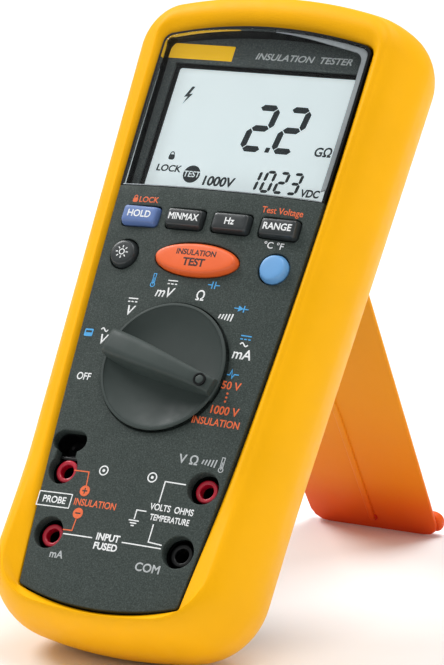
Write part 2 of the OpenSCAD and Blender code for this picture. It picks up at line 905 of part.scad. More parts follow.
module case_screws() {
    color("silver") standing()
        for (p = case_screws_at) translate([p[0], p[1], 0]) difference() {
            union() {
                rod(case_screw_r, p[2], -8.6);
                rod(2.7, p[2] - 2, p[2]);
            }
            block([-3, 3], [-0.4, 0.4], [p[2] - 3, p[2] - 1.2]);
            block([-0.4, 0.4], [-3, 3], [p[2] - 3, p[2] - 1.2]);
        }
}

// ---- Battery bay ----

module battery_tray() {
    color([0.16, 0.16, 0.17]) standing() difference() {
        block([-tray_half, tray_half], [tray_low, tray_high], [tray_back_z, tray_floor_z]);
        block([-tray_half + tray_wall, tray_half - tray_wall],
              [tray_low + tray_wall, tray_high - tray_wall],
              [tray_back_z - 1, tray_floor_z - tray_wall]);
    }
}

module each_cell() {
    for (i = [0 : 3]) translate([0, cell_low_y + i * cell_pitch, cell_z]) children();
}

module cells() {
    color([0.75, 0.72, 0.35]) standing() each_cell() {
        along_x(cell_r, -cell_half, cell_half - 1.2);
        along_x(2.6, 0, cell_half);
    }
}

module battery_springs() {
    color("silver") standing() each_cell()
        for (i = [0 : 2]) translate([-tray_half + tray_wall + i * 0.5, 0, 0])
            along_x(4.8 - i, 0, 0.5);
}

module battery_plates() {
    color("silver") standing() each_cell()
        block([cell_half + 0.1, cell_half + 0.8], [-5, 5], [-5, 5]);
}

module battery_door() {
    color([0.2, 0.21, 0.21]) standing() difference() {
        intersection() {
            rear_case_outside();
            translate([0, (door_low + door_high) / 2, case_back_z - 1])
                rounded_plate([2 * door_half, door_high - door_low, door_thick + 1], 2);
        }
        for (side = [-1, 1])
            translate([side * lock_x, lock_y, 0]) rod(lock_r + 0.05, case_back_z - 2, 0);
        for (y = [-24 : 3 : -12]) block([-9, 9], [y, y + 1.4], [case_back_z - 1, case_back_z + 0.6]);
    }
}

module door_seal() {
    low = door_front_z + 0.02;
    color([0.1, 0.1, 0.1]) standing() difference() {
        block([-door_half + 0.2, door_half - 0.2], [door_low + 0.2, tray_high - 0.7],
              [low, low + seal_thick - 0.04]);
        block([-door_half + 1.8, door_half - 1.8], [door_low + 1.6, tray_high - 1.5],
              [low - 1, low + 1]);
    }
}

module door_lock(side) {
    translate([side * lock_x, lock_y, 0]) difference() {
        union() {
            rod(lock_r, case_back_z, door_front_z);
            rod(1.9, case_back_z, case_floor_z + 0.6);
            intersection() {
                rod(2.5, case_floor_z + 0.1, case_floor_z + 0.8);
                block([-3, 3], [-1.1, 1.1], [case_floor_z, case_floor_z + 1]);
            }
        }
        block([-2.6, 2.6], [-0.5, 0.5], [case_back_z - 1, case_back_z + 0.8]);
    }
}

module left_lock() {
    color([0.55, 0.56, 0.56]) standing() door_lock(-1);
}

module right_lock() {
    color([0.55, 0.56, 0.56]) standing() door_lock(1);
}

holster();
tilt_stand();
stand_pins();
front_case();
rear_case();
case_gasket();
display_window();
display_mask();
display_glass();
display_holder();
backlight_panel();
contact_strips();
key_mat();
hold_key();
minmax_key();
hertz_key();
range_key();
backlight_key();
test_key_cap();
shift_key();
function_knob();
knob_dot();
knob_seal();
switch_rotor();
rotor_contacts();
detent_spring();
main_board();
input_board();
board_connector();
red_jack_sleeves();
black_jack_sleeve();
jack_contacts();
probe_socket();
probe_contacts();
fuse();
fuse_clips();
transformer_core();
transformer_coil();
relays();
capacitors();
varistors();
chips();
buzzer();
board_shield();
board_screws();
case_screws();
battery_tray();
cells();
battery_springs();
battery_plates();
battery_door();
door_seal();
left_lock();
right_lock();
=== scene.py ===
"""Looks of a handheld insulation resistance tester in its holster, standing on its tilt stand.

Pieces are drawn lying down, in millimetres: u across the face, v up the face, w out of the face,
with w = 0 at the front of the holster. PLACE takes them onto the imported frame, in metres.
"""

import json
import math

import bmesh
import bpy
from mathutils import Matrix, Vector


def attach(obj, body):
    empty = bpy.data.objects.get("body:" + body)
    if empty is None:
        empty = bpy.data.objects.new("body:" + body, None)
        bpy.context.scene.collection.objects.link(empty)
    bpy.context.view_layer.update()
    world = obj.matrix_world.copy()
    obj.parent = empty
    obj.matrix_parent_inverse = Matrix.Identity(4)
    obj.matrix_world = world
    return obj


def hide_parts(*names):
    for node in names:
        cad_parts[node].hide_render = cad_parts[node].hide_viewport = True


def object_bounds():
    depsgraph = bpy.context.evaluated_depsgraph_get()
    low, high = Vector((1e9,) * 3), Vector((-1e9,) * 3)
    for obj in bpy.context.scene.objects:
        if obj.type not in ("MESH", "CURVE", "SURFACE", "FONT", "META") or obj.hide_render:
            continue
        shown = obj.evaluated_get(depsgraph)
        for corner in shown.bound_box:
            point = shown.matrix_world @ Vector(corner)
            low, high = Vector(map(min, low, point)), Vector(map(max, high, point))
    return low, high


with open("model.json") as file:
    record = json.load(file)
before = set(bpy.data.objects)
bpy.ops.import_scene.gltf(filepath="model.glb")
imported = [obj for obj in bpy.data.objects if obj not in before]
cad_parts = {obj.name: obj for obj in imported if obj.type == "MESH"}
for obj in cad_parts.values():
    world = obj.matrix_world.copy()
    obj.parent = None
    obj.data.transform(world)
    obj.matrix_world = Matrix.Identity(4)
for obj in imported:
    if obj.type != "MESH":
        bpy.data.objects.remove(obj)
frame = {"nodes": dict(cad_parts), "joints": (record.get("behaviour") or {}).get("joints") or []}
CAD_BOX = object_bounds()

# ---- The lying frame, worked out from the knob's joint ----

MM = 0.001
KNOB_V = -20.8
KNOB_JOINT = next(j for j in frame["joints"] if j["name"] == "knob_turn")
ACROSS = Vector((1, 0, 0))
OUT = Vector(KNOB_JOINT["axis"]).normalized()
UP = OUT.cross(ACROSS)
ORIGIN = Vector(KNOB_JOINT["pos_m"]) - UP * KNOB_V * MM
PLACE = Matrix.Translation(ORIGIN) @ Matrix((ACROSS, UP, OUT)).transposed().to_4x4() @ Matrix.Scale(MM, 4)

# ---- Sizes, in millimetres ----

HALF_WIDTH = 44.0
HALF_LENGTH = 100.7
TAPER = 4.06
FRONT_DEPTH = 13.1
BACK_DEPTH = 24.0
BACK_W = -(FRONT_DEPTH + BACK_DEPTH)
WALL = 2.8
CASE_IN = 3.0
SIDE_FRONT_IN = 9.0
TOP_FRONT_IN = 3.0
BOTTOM_FRONT_IN = 6.2
TOP_BACK_IN = 24.0
BOTTOM_BACK_IN = 19.5
FRONT_POWER = 1.242
TOP_ARC = 138.5
BOTTOM_ARC = 130.0
TOP_CORNER = 14.8
BOTTOM_CORNER = 21.0
FLARE = 0.8
SWELL_FROM = -45.0
SWELL_OVER = 45.0
RIM_FRONT = 0.8
RIM_RISE = 3.1
RIM_INNER_RISE = 1.4
LIP_UNDER = 3.4

PANEL_HALF = 32.5
PANEL_TAPER = 5.07
PANEL_BOW = 2.83
PANEL_TOP = 88.0
PANEL_BOTTOM = 93.3
PANEL_TOP_ARC = 167.0
PANEL_BOTTOM_ARC = 78.0
PANEL_GAP = 0.5
CROWN_TOP = 2.8
CROWN_R = 301.0
WINDOW_BOTTOM = 34.3
MASK_W = -3.6
GLASS_W = -5.3

KEY_ROW_V = 24.6
KEY_PITCH = 15.05
KEY_WIDTH = 12.0
KEY_HEIGHT = 6.0
KEY_PROUD = 1.7
ROUND_KEY_PROUD = KEY_PROUD - 0.1
KEY_FOOT_W = -3.0
ROUND_KEY_U = 24.4
SECOND_ROW_V = 12.4
ROUND_KEY_R = 4.4
TEST_KEY_HALF = (13.4, 5.1)

KNOB_R = 19.1
KNOB_RIM_W = 4.0
KNOB_TOP_W = 9.4
KNOB_FOOT_W = 0.7
POINTER_ANGLE = math.radians(-15)

JACKS = {"plus": (-22.6, -54.0), "volt": (22.6, -54.0), "current": (-20.8, -73.05), "common": (20.8, -73.05)}
JACK_HOLE_R = 4.65
SLEEVE_R = 3.4
SLEEVE_BORE = 2.03
PROBE_U = -23.1
PROBE_V = -45.6

HINGE_V = 40.0
HINGE_W = -38.0
STAND_OPEN = math.radians(66.9)
LEG_LENGTH = 128.1
LEG_HALF = 25.0
LEG_PLATE = 3.2
BARREL_R = 3.0


# ---- Colours and materials ----

PAINTED_SHADE_HEIGHT = 100 * MM  # how far up the stand's own frame its painted shade runs, from red-orange at the foot to yellow


def srgb(red, green, blue):
    """Linear colour of a screen colour given from 0 to 255."""
    def linear(channel):
        c = channel / 255
        return c / 12.92 if c <= 0.04045 else ((c + 0.055) / 1.055) ** 2.4
    return (linear(red), linear(green), linear(blue), 1.0)


MATERIALS = {}


def new_material(name):
    """Starts a material and gives back its node tree and its shader."""
    material = bpy.data.materials.new(name)
    material.use_nodes = True
    MATERIALS[name] = material
    tree = material.node_tree
    return tree, tree.nodes["Principled BSDF"]


def preset(node, values):
    """Sets sockets of a node directly."""
    for socket, value in values.items():
        node.inputs[socket].default_value = value


def add(tree, kind, values=None):
    """New node, with some of its sockets set."""
    node = tree.nodes.new(kind)
    preset(node, values or {})
    return node


def noise(tree, scale, detail=2.0, roughness=0.5):
    """Noise in the piece's own coordinates, so that it moves with the piece. scale is per metre."""
    place = add(tree, "ShaderNodeTexCoord")
    node = add(tree, "ShaderNodeTexNoise", {"Scale": scale, "Detail": detail, "Roughness": roughness})
    tree.links.new(place.outputs["Object"], node.inputs["Vector"])
    return node.outputs["Fac"]


def tint(tree, shader, value, stops):
    """Base colour that runs through stops, each a position and a colour."""
    node = add(tree, "ShaderNodeValToRGB")
    elements = node.color_ramp.elements
    while len(elements) < len(stops):
        elements.new(0.5)
    for element, (position, colour) in zip(elements, stops):
        element.position = position
        element.color = colour
    tree.links.new(value, node.inputs["Fac"])
    tree.links.new(node.outputs["Color"], shader.inputs["Base Color"])


def span(tree, value, low, high, start=0.35, end=0.65):
    """Value taken from start..end to low..high."""
    node = add(tree, "ShaderNodeMapRange",
               {"From Min": start, "From Max": end, "To Min": low, "To Max": high})
    tree.links.new(value, node.inputs["Value"])
    return node.outputs["Result"]


def roughen(tree, shader, value, low, high):
    tree.links.new(span(tree, value, low, high), shader.inputs["Roughness"])


def bump(tree, shader, value, strength, distance):
    node = add(tree, "ShaderNodeBump", {"Strength": strength, "Distance": distance})
    tree.links.new(value, node.inputs["Height"])
    tree.links.new(node.outputs["Normal"], shader.inputs["Normal"])


def mottled(colour, share):
    """A colour made darker by a share."""
    return tuple(c * (1 - share) for c in colour[:3]) + (1.0,)


def plastic(name, colour, rough=0.4, mottle=0.06, grain=3000, depth=0.00002, strength=0.3, coat=0.0,
            shine=0.5, painted_glow=0.0):
    """Moulded plastic: faint cloudy colour, roughness that varies and a fine grain in relief."""
    tree, shader = new_material(name)
    tint(tree, shader, noise(tree, 55, 3.0), [(0.35, mottled(colour, mottle)), (0.65, colour)])
    roughen(tree, shader, noise(tree, 240, 3.0), rough - 0.04, rough + 0.06)
    bump(tree, shader, noise(tree, grain), strength, depth)
    # painted_glow makes the plastic shine on its own: painted light
    preset(shader, {"Coat Weight": coat, "Specular IOR Level": shine,
                    "Emission Color": colour, "Emission Strength": painted_glow})


def grained(name, dark, light, rough=0.6, shine=0.22):
    """Panel plastic with the fine pale speckle of a spark-eroded mould."""
    tree, shader = new_material(name)
    speckle = noise(tree, 2600, 2.0, 0.6)
    tint(tree, shader, speckle, [(0.36, dark), (0.56, mottled(light, 0.35)), (0.7, light)])
    roughen(tree, shader, noise(tree, 200), rough - 0.05, rough + 0.08)
    bump(tree, shader, speckle, 0.4, 0.00005)
    preset(shader, {"Specular IOR Level": shine})


def metal(name, colour, rough=0.28):
    """Plated metal, faintly clouded and brushed dull in places."""
    tree, shader = new_material(name)
    tint(tree, shader, noise(tree, 300, 3.0), [(0.3, mottled(colour, 0.18)), (0.7, colour)])
    roughen(tree, shader, noise(tree, 900), rough - 0.06, rough + 0.12)
    bump(tree, shader, noise(tree, 1500), 0.15, 0.00002)
    preset(shader, {"Metallic": 1.0})


def stand_material():
    """Yellow plastic with painted shade: its colour deepens to red-orange towards the foot."""
    tree, shader = new_material("stand")
    place = add(tree, "ShaderNodeTexCoord")
    split = add(tree, "ShaderNodeSeparateXYZ")
    tree.links.new(place.outputs["Object"], split.inputs["Vector"])
    painted_shade_stops = [(0.0, srgb(216, 66, 14)), (0.1, srgb(224, 92, 8)), (0.2, srgb(232, 124, 2)),
             (0.5, srgb(238, 148, 0)), (1.0, srgb(242, 164, 0))]
    tint(tree, shader, span(tree, split.outputs["Z"], 0.0, 1.0, 0.0, PAINTED_SHADE_HEIGHT), painted_shade_stops)
    roughen(tree, shader, noise(tree, 180, 3.0), 0.36, 0.48)
    bump(tree, shader, noise(tree, 2600), 0.25, 0.00002)
    preset(shader, {"Specular IOR Level": 0.2})


def lens_material():
    """Clear hard-coated acrylic: see-through, with a mirror sheen that grows at low angles."""
    tree, shader = new_material("lens")
    tree.nodes.remove(shader)
    clear = add(tree, "ShaderNodeBsdfTransparent", {"Color": (0.97, 0.985, 0.985, 1.0)})
    gloss = add(tree, "ShaderNodeBsdfGlossy")
    roughen(tree, gloss, noise(tree, 120), 0.02, 0.06)
    edge = add(tree, "ShaderNodeFresnel", {"IOR": 1.22})
    mix = add(tree, "ShaderNodeMixShader")
    tree.links.new(edge.outputs["Fac"], mix.inputs["Fac"])
    tree.links.new(clear.outputs["BSDF"], mix.inputs[1])
    tree.links.new(gloss.outputs["BSDF"], mix.inputs[2])
    tree.links.new(mix.outputs["Shader"], tree.nodes["Material Output"].inputs["Surface"])


def film_with_painted_light():
    """Pale display film with an even glow: painted light that keeps it bright in the shade of the window's
    well.
    """
    tree, shader = new_material("display")
    cloud = noise(tree, 90)
    tint(tree, shader, cloud, [(0.3, srgb(230, 240, 243)), (0.7, srgb(236, 245, 248))])
    roughen(tree, shader, cloud, 0.5, 0.6)
    preset(shader, {"Specular IOR Level": 0.1, "Emission Color": (0.9, 0.97, 0.98, 1.0),
                    "Emission Strength": 0.42})


def ink(name, colour):
    """Printed ink: a little uneven in tone, with the panel's grain showing through."""
    tree, shader = new_material(name)
    tint(tree, shader, noise(tree, 1800), [(0.3, mottled(colour, 0.16)), (0.6, colour)])
    bump(tree, shader, noise(tree, 2600), 0.3, 0.00003)
    preset(shader, {"Roughness": 0.6})


def make_materials():
    """Each is registered in MATERIALS under the name given first."""
    plastic("holster", srgb(250, 180, 0), 0.45, 0.04, 1900, 0.00003, 0.2, shine=0.14)
    stand_material()
    plastic("red_spot", srgb(206, 34, 18), 0.4, 0.15, shine=0.2)
    # Pale colour of the band that paints the highlight along the lens's edge
    plastic("painted_lens_highlight", srgb(214, 220, 224), 0.25, 0.2, 1200, 0.00002, 0.2)
    grained("panel", srgb(44, 53, 50), srgb(74, 84, 80))
    # The mask takes the panel's grey made lighter: painted light against the shade of the window's well
    grained("mask", srgb(84, 91, 90), srgb(126, 133, 132))
    plastic("well", srgb(14, 16, 17), 0.5, 0.2, shine=0.12)
    plastic("knob", srgb(54, 64, 61), 0.55, 0.12, 2200, 0.00003, 0.3, shine=0.35)
    plastic("dark_key", srgb(44, 49, 50), 0.32, 0.12, 2400)
    plastic("violet_key", srgb(96, 122, 176), 0.4, 0.08, 2400)
    plastic("orange_key", srgb(236, 100, 40), 0.42, 0.06, 2400)
    plastic("blue_key", srgb(104, 162, 216), 0.38, 0.08, 2400)
    plastic("jack_red", srgb(198, 16, 48), 0.3, 0.1, 2400, 0.00001, 0.2, 0.4)
    plastic("jack_black", srgb(12, 14, 14), 0.35, 0.2, 2400, 0.00001, 0.2, 0.1, 0.3)
    lens_material()
    film_with_painted_light()
    plastic("segment", srgb(46, 54, 58), 0.4, 0.15)
    # The name plate glows: painted light that keeps it bright in the shade of the window's well.
    plastic("plate", srgb(255, 196, 34), 0.45, 0.04, shine=0.2, painted_glow=0.4)
    ink("white_ink", srgb(238, 240, 240))
    ink("grey_ink", srgb(176, 181, 182))
    ink("orange_ink", srgb(232, 104, 52))
    ink("blue_ink", srgb(70, 165, 226))
    ink("dark_ink", srgb(52, 26, 20))
    grained("case", srgb(40, 43, 43), srgb(74, 78, 78))
    plastic("rubber", srgb(30, 30, 31), 0.65, 0.2, 1500, 0.00004)
    plastic("white", srgb(226, 224, 214), 0.45)
    plastic("lock", srgb(120, 123, 124), 0.4, 0.1)
    metal("steel", srgb(196, 197, 200))
    metal("brass", srgb(214, 178, 96))
    plastic("board", srgb(26, 96, 52), 0.3, 0.25, 900)
    plastic("ceramic", srgb(224, 220, 206), 0.35)
    plastic("ferrite", srgb(60, 60, 64), 0.7, 0.3)
    plastic("tape", srgb(214, 160, 52), 0.4, 0.2)
    plastic("capacitor", srgb(40, 58, 120), 0.3, 0.15)
    plastic("chip", srgb(34, 34, 36), 0.5, 0.2)
    plastic("cell", srgb(158, 150, 70), 0.3, 0.2)


NODES_BY_LOOK = {
    "steel": "stand_pins detent_spring board_shield board_screws case_screws battery_springs battery_plates",
    "case": "rear_case battery_tray battery_door",
    "rubber": "case_gasket contact_strips key_mat knob_seal door_seal",
    "white": "display_holder backlight_panel switch_rotor board_connector relays",
    "brass": "rotor_contacts jack_contacts fuse_clips",
    "board": "main_board input_board",
    # probe_contacts take black chip plastic, not brass: painted shade that keeps them dark in the probe
    # recess
    "chip": "probe_contacts chips buzzer",
    "ceramic": "fuse",
    "ferrite": "transformer_core",
    "tape": "transformer_coil",
    "capacitor": "capacitors varistors",
    "cell": "cells",
    "lock": "left_lock right_lock",
    "stand": "tilt_stand",
    "holster": "holster",
    "panel": "front_case",
    "lens": "display_window",
    "mask": "display_mask",
    "display": "display_glass",
    "violet_key": "hold_key",
    "dark_key": "minmax_key hertz_key range_key backlight_key",
    "orange_key": "test_key_cap",
    "blue_key": "shift_key",
    "knob": "function_knob knob_dot",
    "jack_red": "red_jack_sleeves",
    "jack_black": "probe_socket black_jack_sleeve",
}


def dress_nodes():
    """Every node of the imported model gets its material, shown or not."""
    look_of = {name: look for look, names in NODES_BY_LOOK.items() for name in names.split()}
    for name, node in frame["nodes"].items():
        node.data.materials.clear()
        node.data.materials.append(MATERIALS[look_of[name]])


# ---- Mesh tools ----

def put(name, data):
    """New object in the scene."""
    thing = bpy.data.objects.new(name, data)
    bpy.context.scene.collection.objects.link(thing)
    return thing


def smooth(mesh, angle):
    mesh.polygons.foreach_set("use_smooth", [True] * len(mesh.polygons))
    mesh.set_sharp_from_angle(angle=math.radians(angle))


def finished(bm, name, material, body="root", replaced=(), *, angle=35, hold=None):
    """Makes a piece from a lying mesh in millimetres, stands it up and puts it on its body."""
    mesh = bpy.data.meshes.new(name)
    bmesh.ops.recalc_face_normals(bm, faces=bm.faces)
    bm.to_mesh(mesh)
    bm.free()
    mesh.transform(PLACE @ hold if hold else PLACE)
    mesh.materials.append(MATERIALS[material])
    smooth(mesh, angle)
    piece = put(name, mesh)
    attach(piece, body)
    if replaced:
        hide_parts(*replaced)


def pour(part, whole):
    """Adds one bmesh to another and frees it."""
    mesh = bpy.data.meshes.new("part")
    part.to_mesh(mesh)
    part.free()
    whole.from_mesh(mesh)
    bpy.data.meshes.remove(mesh)


def joined(*parts):
    """One bmesh out of several."""
    whole = bmesh.new()
    for part in parts:
        pour(part, whole)
    return whole


def moved(bm, u=0.0, v=0.0, w=0.0, turn=0.0):
    """bm turned about w, then shifted."""
    bm.transform(Matrix.Translation((u, v, w)) @ Matrix.Rotation(turn, 4, "Z"))
    return bm


def baked(thing):
    """bmesh of an object as its curve or its modifiers make it. The object is taken away."""
    bpy.context.view_layer.update()
    graph = bpy.context.evaluated_depsgraph_get()
    mesh = bpy.data.meshes.new_from_object(thing.evaluated_get(graph))
    bm = bmesh.new()
    bm.from_mesh(mesh)
    bpy.data.objects.remove(thing)
    bpy.data.meshes.remove(mesh)
    return bm


def mesh_of(data):
    """bmesh of a curve or a text, with its rims welded to its faces."""
    bm = baked(put("holder", data))
    bmesh.ops.remove_doubles(bm, verts=bm.verts, dist=0.0005)
    return bm


def slab(loops, low, high, bevel=0.0, steps=2):
    """Plate from low to high inside closed loops of points. Loops inside another are holes."""
    curve = bpy.data.curves.new("slab", "CURVE")
    curve.dimensions = "2D"
    curve.fill_mode = "BOTH"
    curve.extrude = (high - low) / 2 - bevel
    curve.bevel_depth = bevel
    curve.bevel_resolution = steps
    curve.offset = -bevel
    for loop in loops:
        spline = curve.splines.new("POLY")
        spline.points.add(len(loop) - 1)
        for point, place in zip(spline.points, loop):
            point.co = (place[0], place[1], 0, 1)
        spline.use_cyclic_u = True
    bm = mesh_of(curve)
    bpy.data.curves.remove(curve)
    return moved(bm, w=(low + high) / 2)


def crown(u):
    """Height of the panel's crowned face at u."""
    return CROWN_TOP - CROWN_R + math.sqrt(CROWN_R ** 2 - u * u)


def crowned(bm, step=1.5, widest=36.0):
    """Bends a lying plate over the panel's crown, after slicing it along v every step."""
    count = int(widest / step)
    for k in range(-count, count + 1):
        geometry = bm.verts[:] + bm.edges[:] + bm.faces[:]
        bmesh.ops.bisect_plane(bm, geom=geometry, dist=0.0001, plane_co=(k * step, 0, 0), plane_no=(1, 0, 0))
    for vert in bm.verts:
        vert.co.z += crown(vert.co.x)
    return bm


def polar(r, angle, u=0.0, v=0.0):
    """Point at a distance and an angle in radians from (u, v)."""
    return (u + r * math.cos(angle), v + r * math.sin(angle))


def between(a, b, share):
    """Point part way from a to b."""
    return tuple(p + (q - p) * share for p, q in zip(a, b))


def oval(u, v, half_u, half_v, count=72):
    turns = [2 * math.pi * i / count for i in range(count)]
    return [(u + half_u * math.cos(a), v + half_v * math.sin(a)) for a in turns]


def circle(u, v, r, count=48):
    return oval(u, v, r, r, count)


def rounded(u, v, width, height, r, count=6):
    """Rectangle about (u, v) with round corners."""
    points = []
    for side, (su, sv) in enumerate([(1, 1), (-1, 1), (-1, -1), (1, -1)]):
        for i in range(count + 1):
            angle = math.pi / 2 * (side + i / count)
            points.append(polar(r, angle, u + su * (width / 2 - r), v + sv * (height / 2 - r)))
    return points


def lathe(profile, segments=64):
    """Solid or ring turned about w: profile is a list of (radius, w). A closed ring repeats no point."""
    bm = bmesh.new()
    rings = []
    for radius, w in profile:
        count = segments if radius > 0 else 1
        rings.append([bm.verts.new((*polar(radius, 2 * math.pi * i / segments), w)) for i in range(count)])
    pairs = list(zip(rings, rings[1:]))
    if len(rings[0]) > 1 and len(rings[-1]) > 1:
        pairs.append((rings[-1], rings[0]))
    for a, b in pairs:
        for i in range(segments):
            j = (i + 1) % segments
            corners = [a[i % len(a)], a[j % len(a)], b[j % len(b)], b[i % len(b)]]
            unique = list(dict.fromkeys(corners))
            if len(unique) > 2:
                bm.faces.new(unique)
    return bm


def arc(centre_r, centre_w, r, start, end, count=6):
    """Points of a fillet in a lathe profile, with angles in degrees."""
    turns = [math.radians(start + (end - start) * i / count) for i in range(count + 1)]
    return [polar(r, turn, centre_r, centre_w) for turn in turns]


# ---- Outlines of the holster and the panel ----

def ease(t):
    t = min(1.0, max(0.0, t))
    return t * t * (3 - 2 * t)


def swell(v):
    """How far the thicker lower end has come in at v, from 0 to 1."""
    return ease((SWELL_FROM - v) / SWELL_OVER)


def outline(half, slope, top, bottom, arc_top, arc_bottom, r_top, r_bottom, bulge=0.0, bow=0.0,
            arcs=12, corners=12, sides=36):
    """Closed ring of points around a long shape with slanted sides and arched ends."""
    def side(v):
        return half + slope * v / 100 + bulge * swell(v) - bow * (v / 100) ** 2

    def end_run(end, length, arch, r):
        """Points from the middle of an end, round its right corner, to where the side starts."""
        v = end * (length - r)
        for _ in range(5):
            u = side(v) - r
            v = end * (length - arch + math.sqrt(max(1, (arch - r) ** 2 - u * u)))
        u = side(v) - r
        turn = math.asin(u / (arch - r))
        points = []
        for i in range(arcs):
            a = turn * i / arcs
            points.append((arch * math.sin(a), end * (length - arch + arch * math.cos(a))))
        for i in range(corners + 1):
            a = turn + (math.pi / 2 - turn) * i / corners
            points.append((u + r * math.sin(a), v + end * r * math.cos(a)))
        return points

    right = end_run(-1, bottom, arc_bottom, r_bottom)
    above = end_run(1, top, arc_top, r_top)[::-1]
    low = right[-1][1]
    high = above[0][1]
    for i in range(1, sides):
        v = low + (high - low) * i / sides
        right.append((side(v), v))
    right += above
    return right + [(-u, v) for u, v in right[-2:0:-1]]


def body_outline(side_in, top_in, bottom_in):
    """The holster's outline, drawn in by different amounts at its sides and its ends."""
    r_top = max(5, TOP_CORNER - 0.6 * side_in)
    r_bottom = max(8, BOTTOM_CORNER - 0.6 * side_in)
    return outline(HALF_WIDTH - side_in, TAPER, HALF_LENGTH - top_in, HALF_LENGTH - bottom_in,
                   TOP_ARC, BOTTOM_ARC, r_top, r_bottom, FLARE)


def shoulder(wall):
    """Ring where a shell of this wall starts to draw in towards the panel."""
    return body_outline(wall + 4, wall + 1.5, wall + 3)


def panel_outline(inset):
    return outline(PANEL_HALF - inset, PANEL_TAPER, PANEL_TOP - inset, PANEL_BOTTOM - inset,
                   PANEL_TOP_ARC, PANEL_BOTTOM_ARC, 3.0, 1.2, 0.0, PANEL_BOW)


def raised(ring, w, rise=0.0):
    """Flat ring put at height w, and up to rise higher at the lower end."""
    return [(u, v, w + rise * swell(v)) for u, v in ring]


def front_ring(wall, degrees, rise):
    """Ring of the front rounding. degrees runs from 0 at the sides to 90 at the rim."""
    t = math.radians(degrees)
    drawn = 1 - max(0.0, math.cos(t)) ** FRONT_POWER
    up = math.sin(t) ** FRONT_POWER
    ring = body_outline(wall + SIDE_FRONT_IN * drawn, wall + TOP_FRONT_IN * drawn,
                        wall + BOTTOM_FRONT_IN * drawn)
    return raised(ring, -FRONT_DEPTH + (FRONT_DEPTH + RIM_FRONT) * up, rise * up)


def back_ring(wall, degrees):
    """Ring of the back rounding. degrees runs from 0 at the sides to 90 at the back."""
    t = math.radians(degrees)
    depth = BACK_DEPTH - wall
    drawn = 1 - math.cos(t)
    ring = body_outline(wall + depth * drawn, wall + (TOP_BACK_IN - wall) * drawn,
                        wall + (BOTTOM_BACK_IN - wall) * drawn)
    return raised(ring, -FRONT_DEPTH - depth * math.sin(t))


def loft(rings):
    """Skin through rings of equal length, with both ends closed."""
    bm = bmesh.new()
    rows = [[bm.verts.new(p) for p in ring] for ring in rings]
    count = len(rows[0])
    for a, b in zip(rows, rows[1:]):
        for i in range(count):
            j = (i + 1) % count
            bm.faces.new((a[i], a[j], b[j], b[i]))
    bm.faces.new(rows[0])
    bm.faces.new(rows[-1])
    return bm


def cut(bm, *cutters):
    """bm without the cutters, by an exact boolean."""
    for cutter in cutters:
        things = []
        for part in (bm, cutter):
            bmesh.ops.recalc_face_normals(part, faces=part.faces)
            mesh = bpy.data.meshes.new("solid")
            part.to_mesh(mesh)
            part.free()
            things.append(put("solid", mesh))
        whole, tool = things
        boolean = whole.modifiers.new("cut", "BOOLEAN")
        boolean.object = tool
        boolean.operation = "DIFFERENCE"
        boolean.solver = "EXACT"
        bm = baked(whole)
        bpy.data.objects.remove(tool)
    return bm


# ---- Holster ----

RIM_STEPS = 10
BEAD = 0.8
BROW = 0.6
BROW_FROM = 78.0
BROW_OVER = 8.0
EDGE_W = RIM_FRONT - 0.6
EDGE_ROUNDING = [(-0.35, 0.0), (-0.12, 0.1), (0.0, 0.35)]  # inset from the panel, and drop
# Cuts through the back: middle along v, width, length, corner radius and depth
BACK_CUTS = [(-22.75, 56.8, 114.5, 3.0, CASE_IN + 1), (39.0, 51.2, 9.6, 0.6, CASE_IN + 1),
             (-84.5, 51.2, 11.0, 0.6, 1.3)]
EAR_FROM = 25.6
EAR_TO = 29.6
PIN_R = 1.5


def rim_ring(share):
    """Ring part way in from the outer rounding to the panel: a low bead, with a brow over the window."""
    outer = front_ring(0, 90, RIM_RISE)
    inner = raised(panel_outline(EDGE_ROUNDING[0][0]), EDGE_W, RIM_INNER_RISE)
    ring = []
    for a, b in zip(outer, inner):
        u, v, w = between(a, b, share)
        height = BEAD * (1 - swell(b[1])) + BROW * ease((b[1] - BROW_FROM) / BROW_OVER)
        ring.append((u, v, w + height * math.sin(math.pi * share)))
    return ring


def holster():
    outer = [back_ring(0, t) for t in range(90, 0, -6)]
    outer += [front_ring(0, t, RIM_RISE) for t in range(0, 91, 6)]
    rim = [rim_ring(i / RIM_STEPS) for i in range(1, RIM_STEPS)]
    edge = [raised(panel_outline(inset), EDGE_W - drop, RIM_INNER_RISE) for inset, drop in EDGE_ROUNDING]
    lip = [raised(panel_outline(0), -LIP_UNDER), raised(shoulder(WALL), -LIP_UNDER)]
    cavity = [front_ring(WALL, t, 0) for t in (25, 12, 0)] + [back_ring(WALL, t) for t in range(15, 91, 15)]
    cutters = [slab([rounded(0, v, width, length, r)], BACK_W - 1, BACK_W + depth)
               for v, width, length, r, depth in BACK_CUTS]
    shell = cut(loft(outer + rim + edge + lip + cavity), *cutters)
    finished(joined(shell, hinge_ear(-1), hinge_ear(1)), "holster_shell", "holster",
             replaced=["holster"], angle=42)


def hinge_ear(side):
    """Round-ended lug that holds one end of the stand's hinge."""
    half = (EAR_TO - EAR_FROM) / 2
    outer = [polar(BARREL_R, math.radians(a)) for a in range(180, 361, 10)]
    outer += [(BARREL_R, BARREL_R), (-BARREL_R, BARREL_R)]
    ear = slab([outer, circle(0, 0, PIN_R, 32)], -half, half, 0.3)
    across = Matrix(((0, 0, 1, 0), (1, 0, 0, 0), (0, 1, 0, 0), (0, 0, 0, 1)))
    ear.transform(Matrix.Translation((side * (EAR_FROM + EAR_TO) / 2, HINGE_V, HINGE_W)) @ across)
    return ear


# ---- Front panel ----

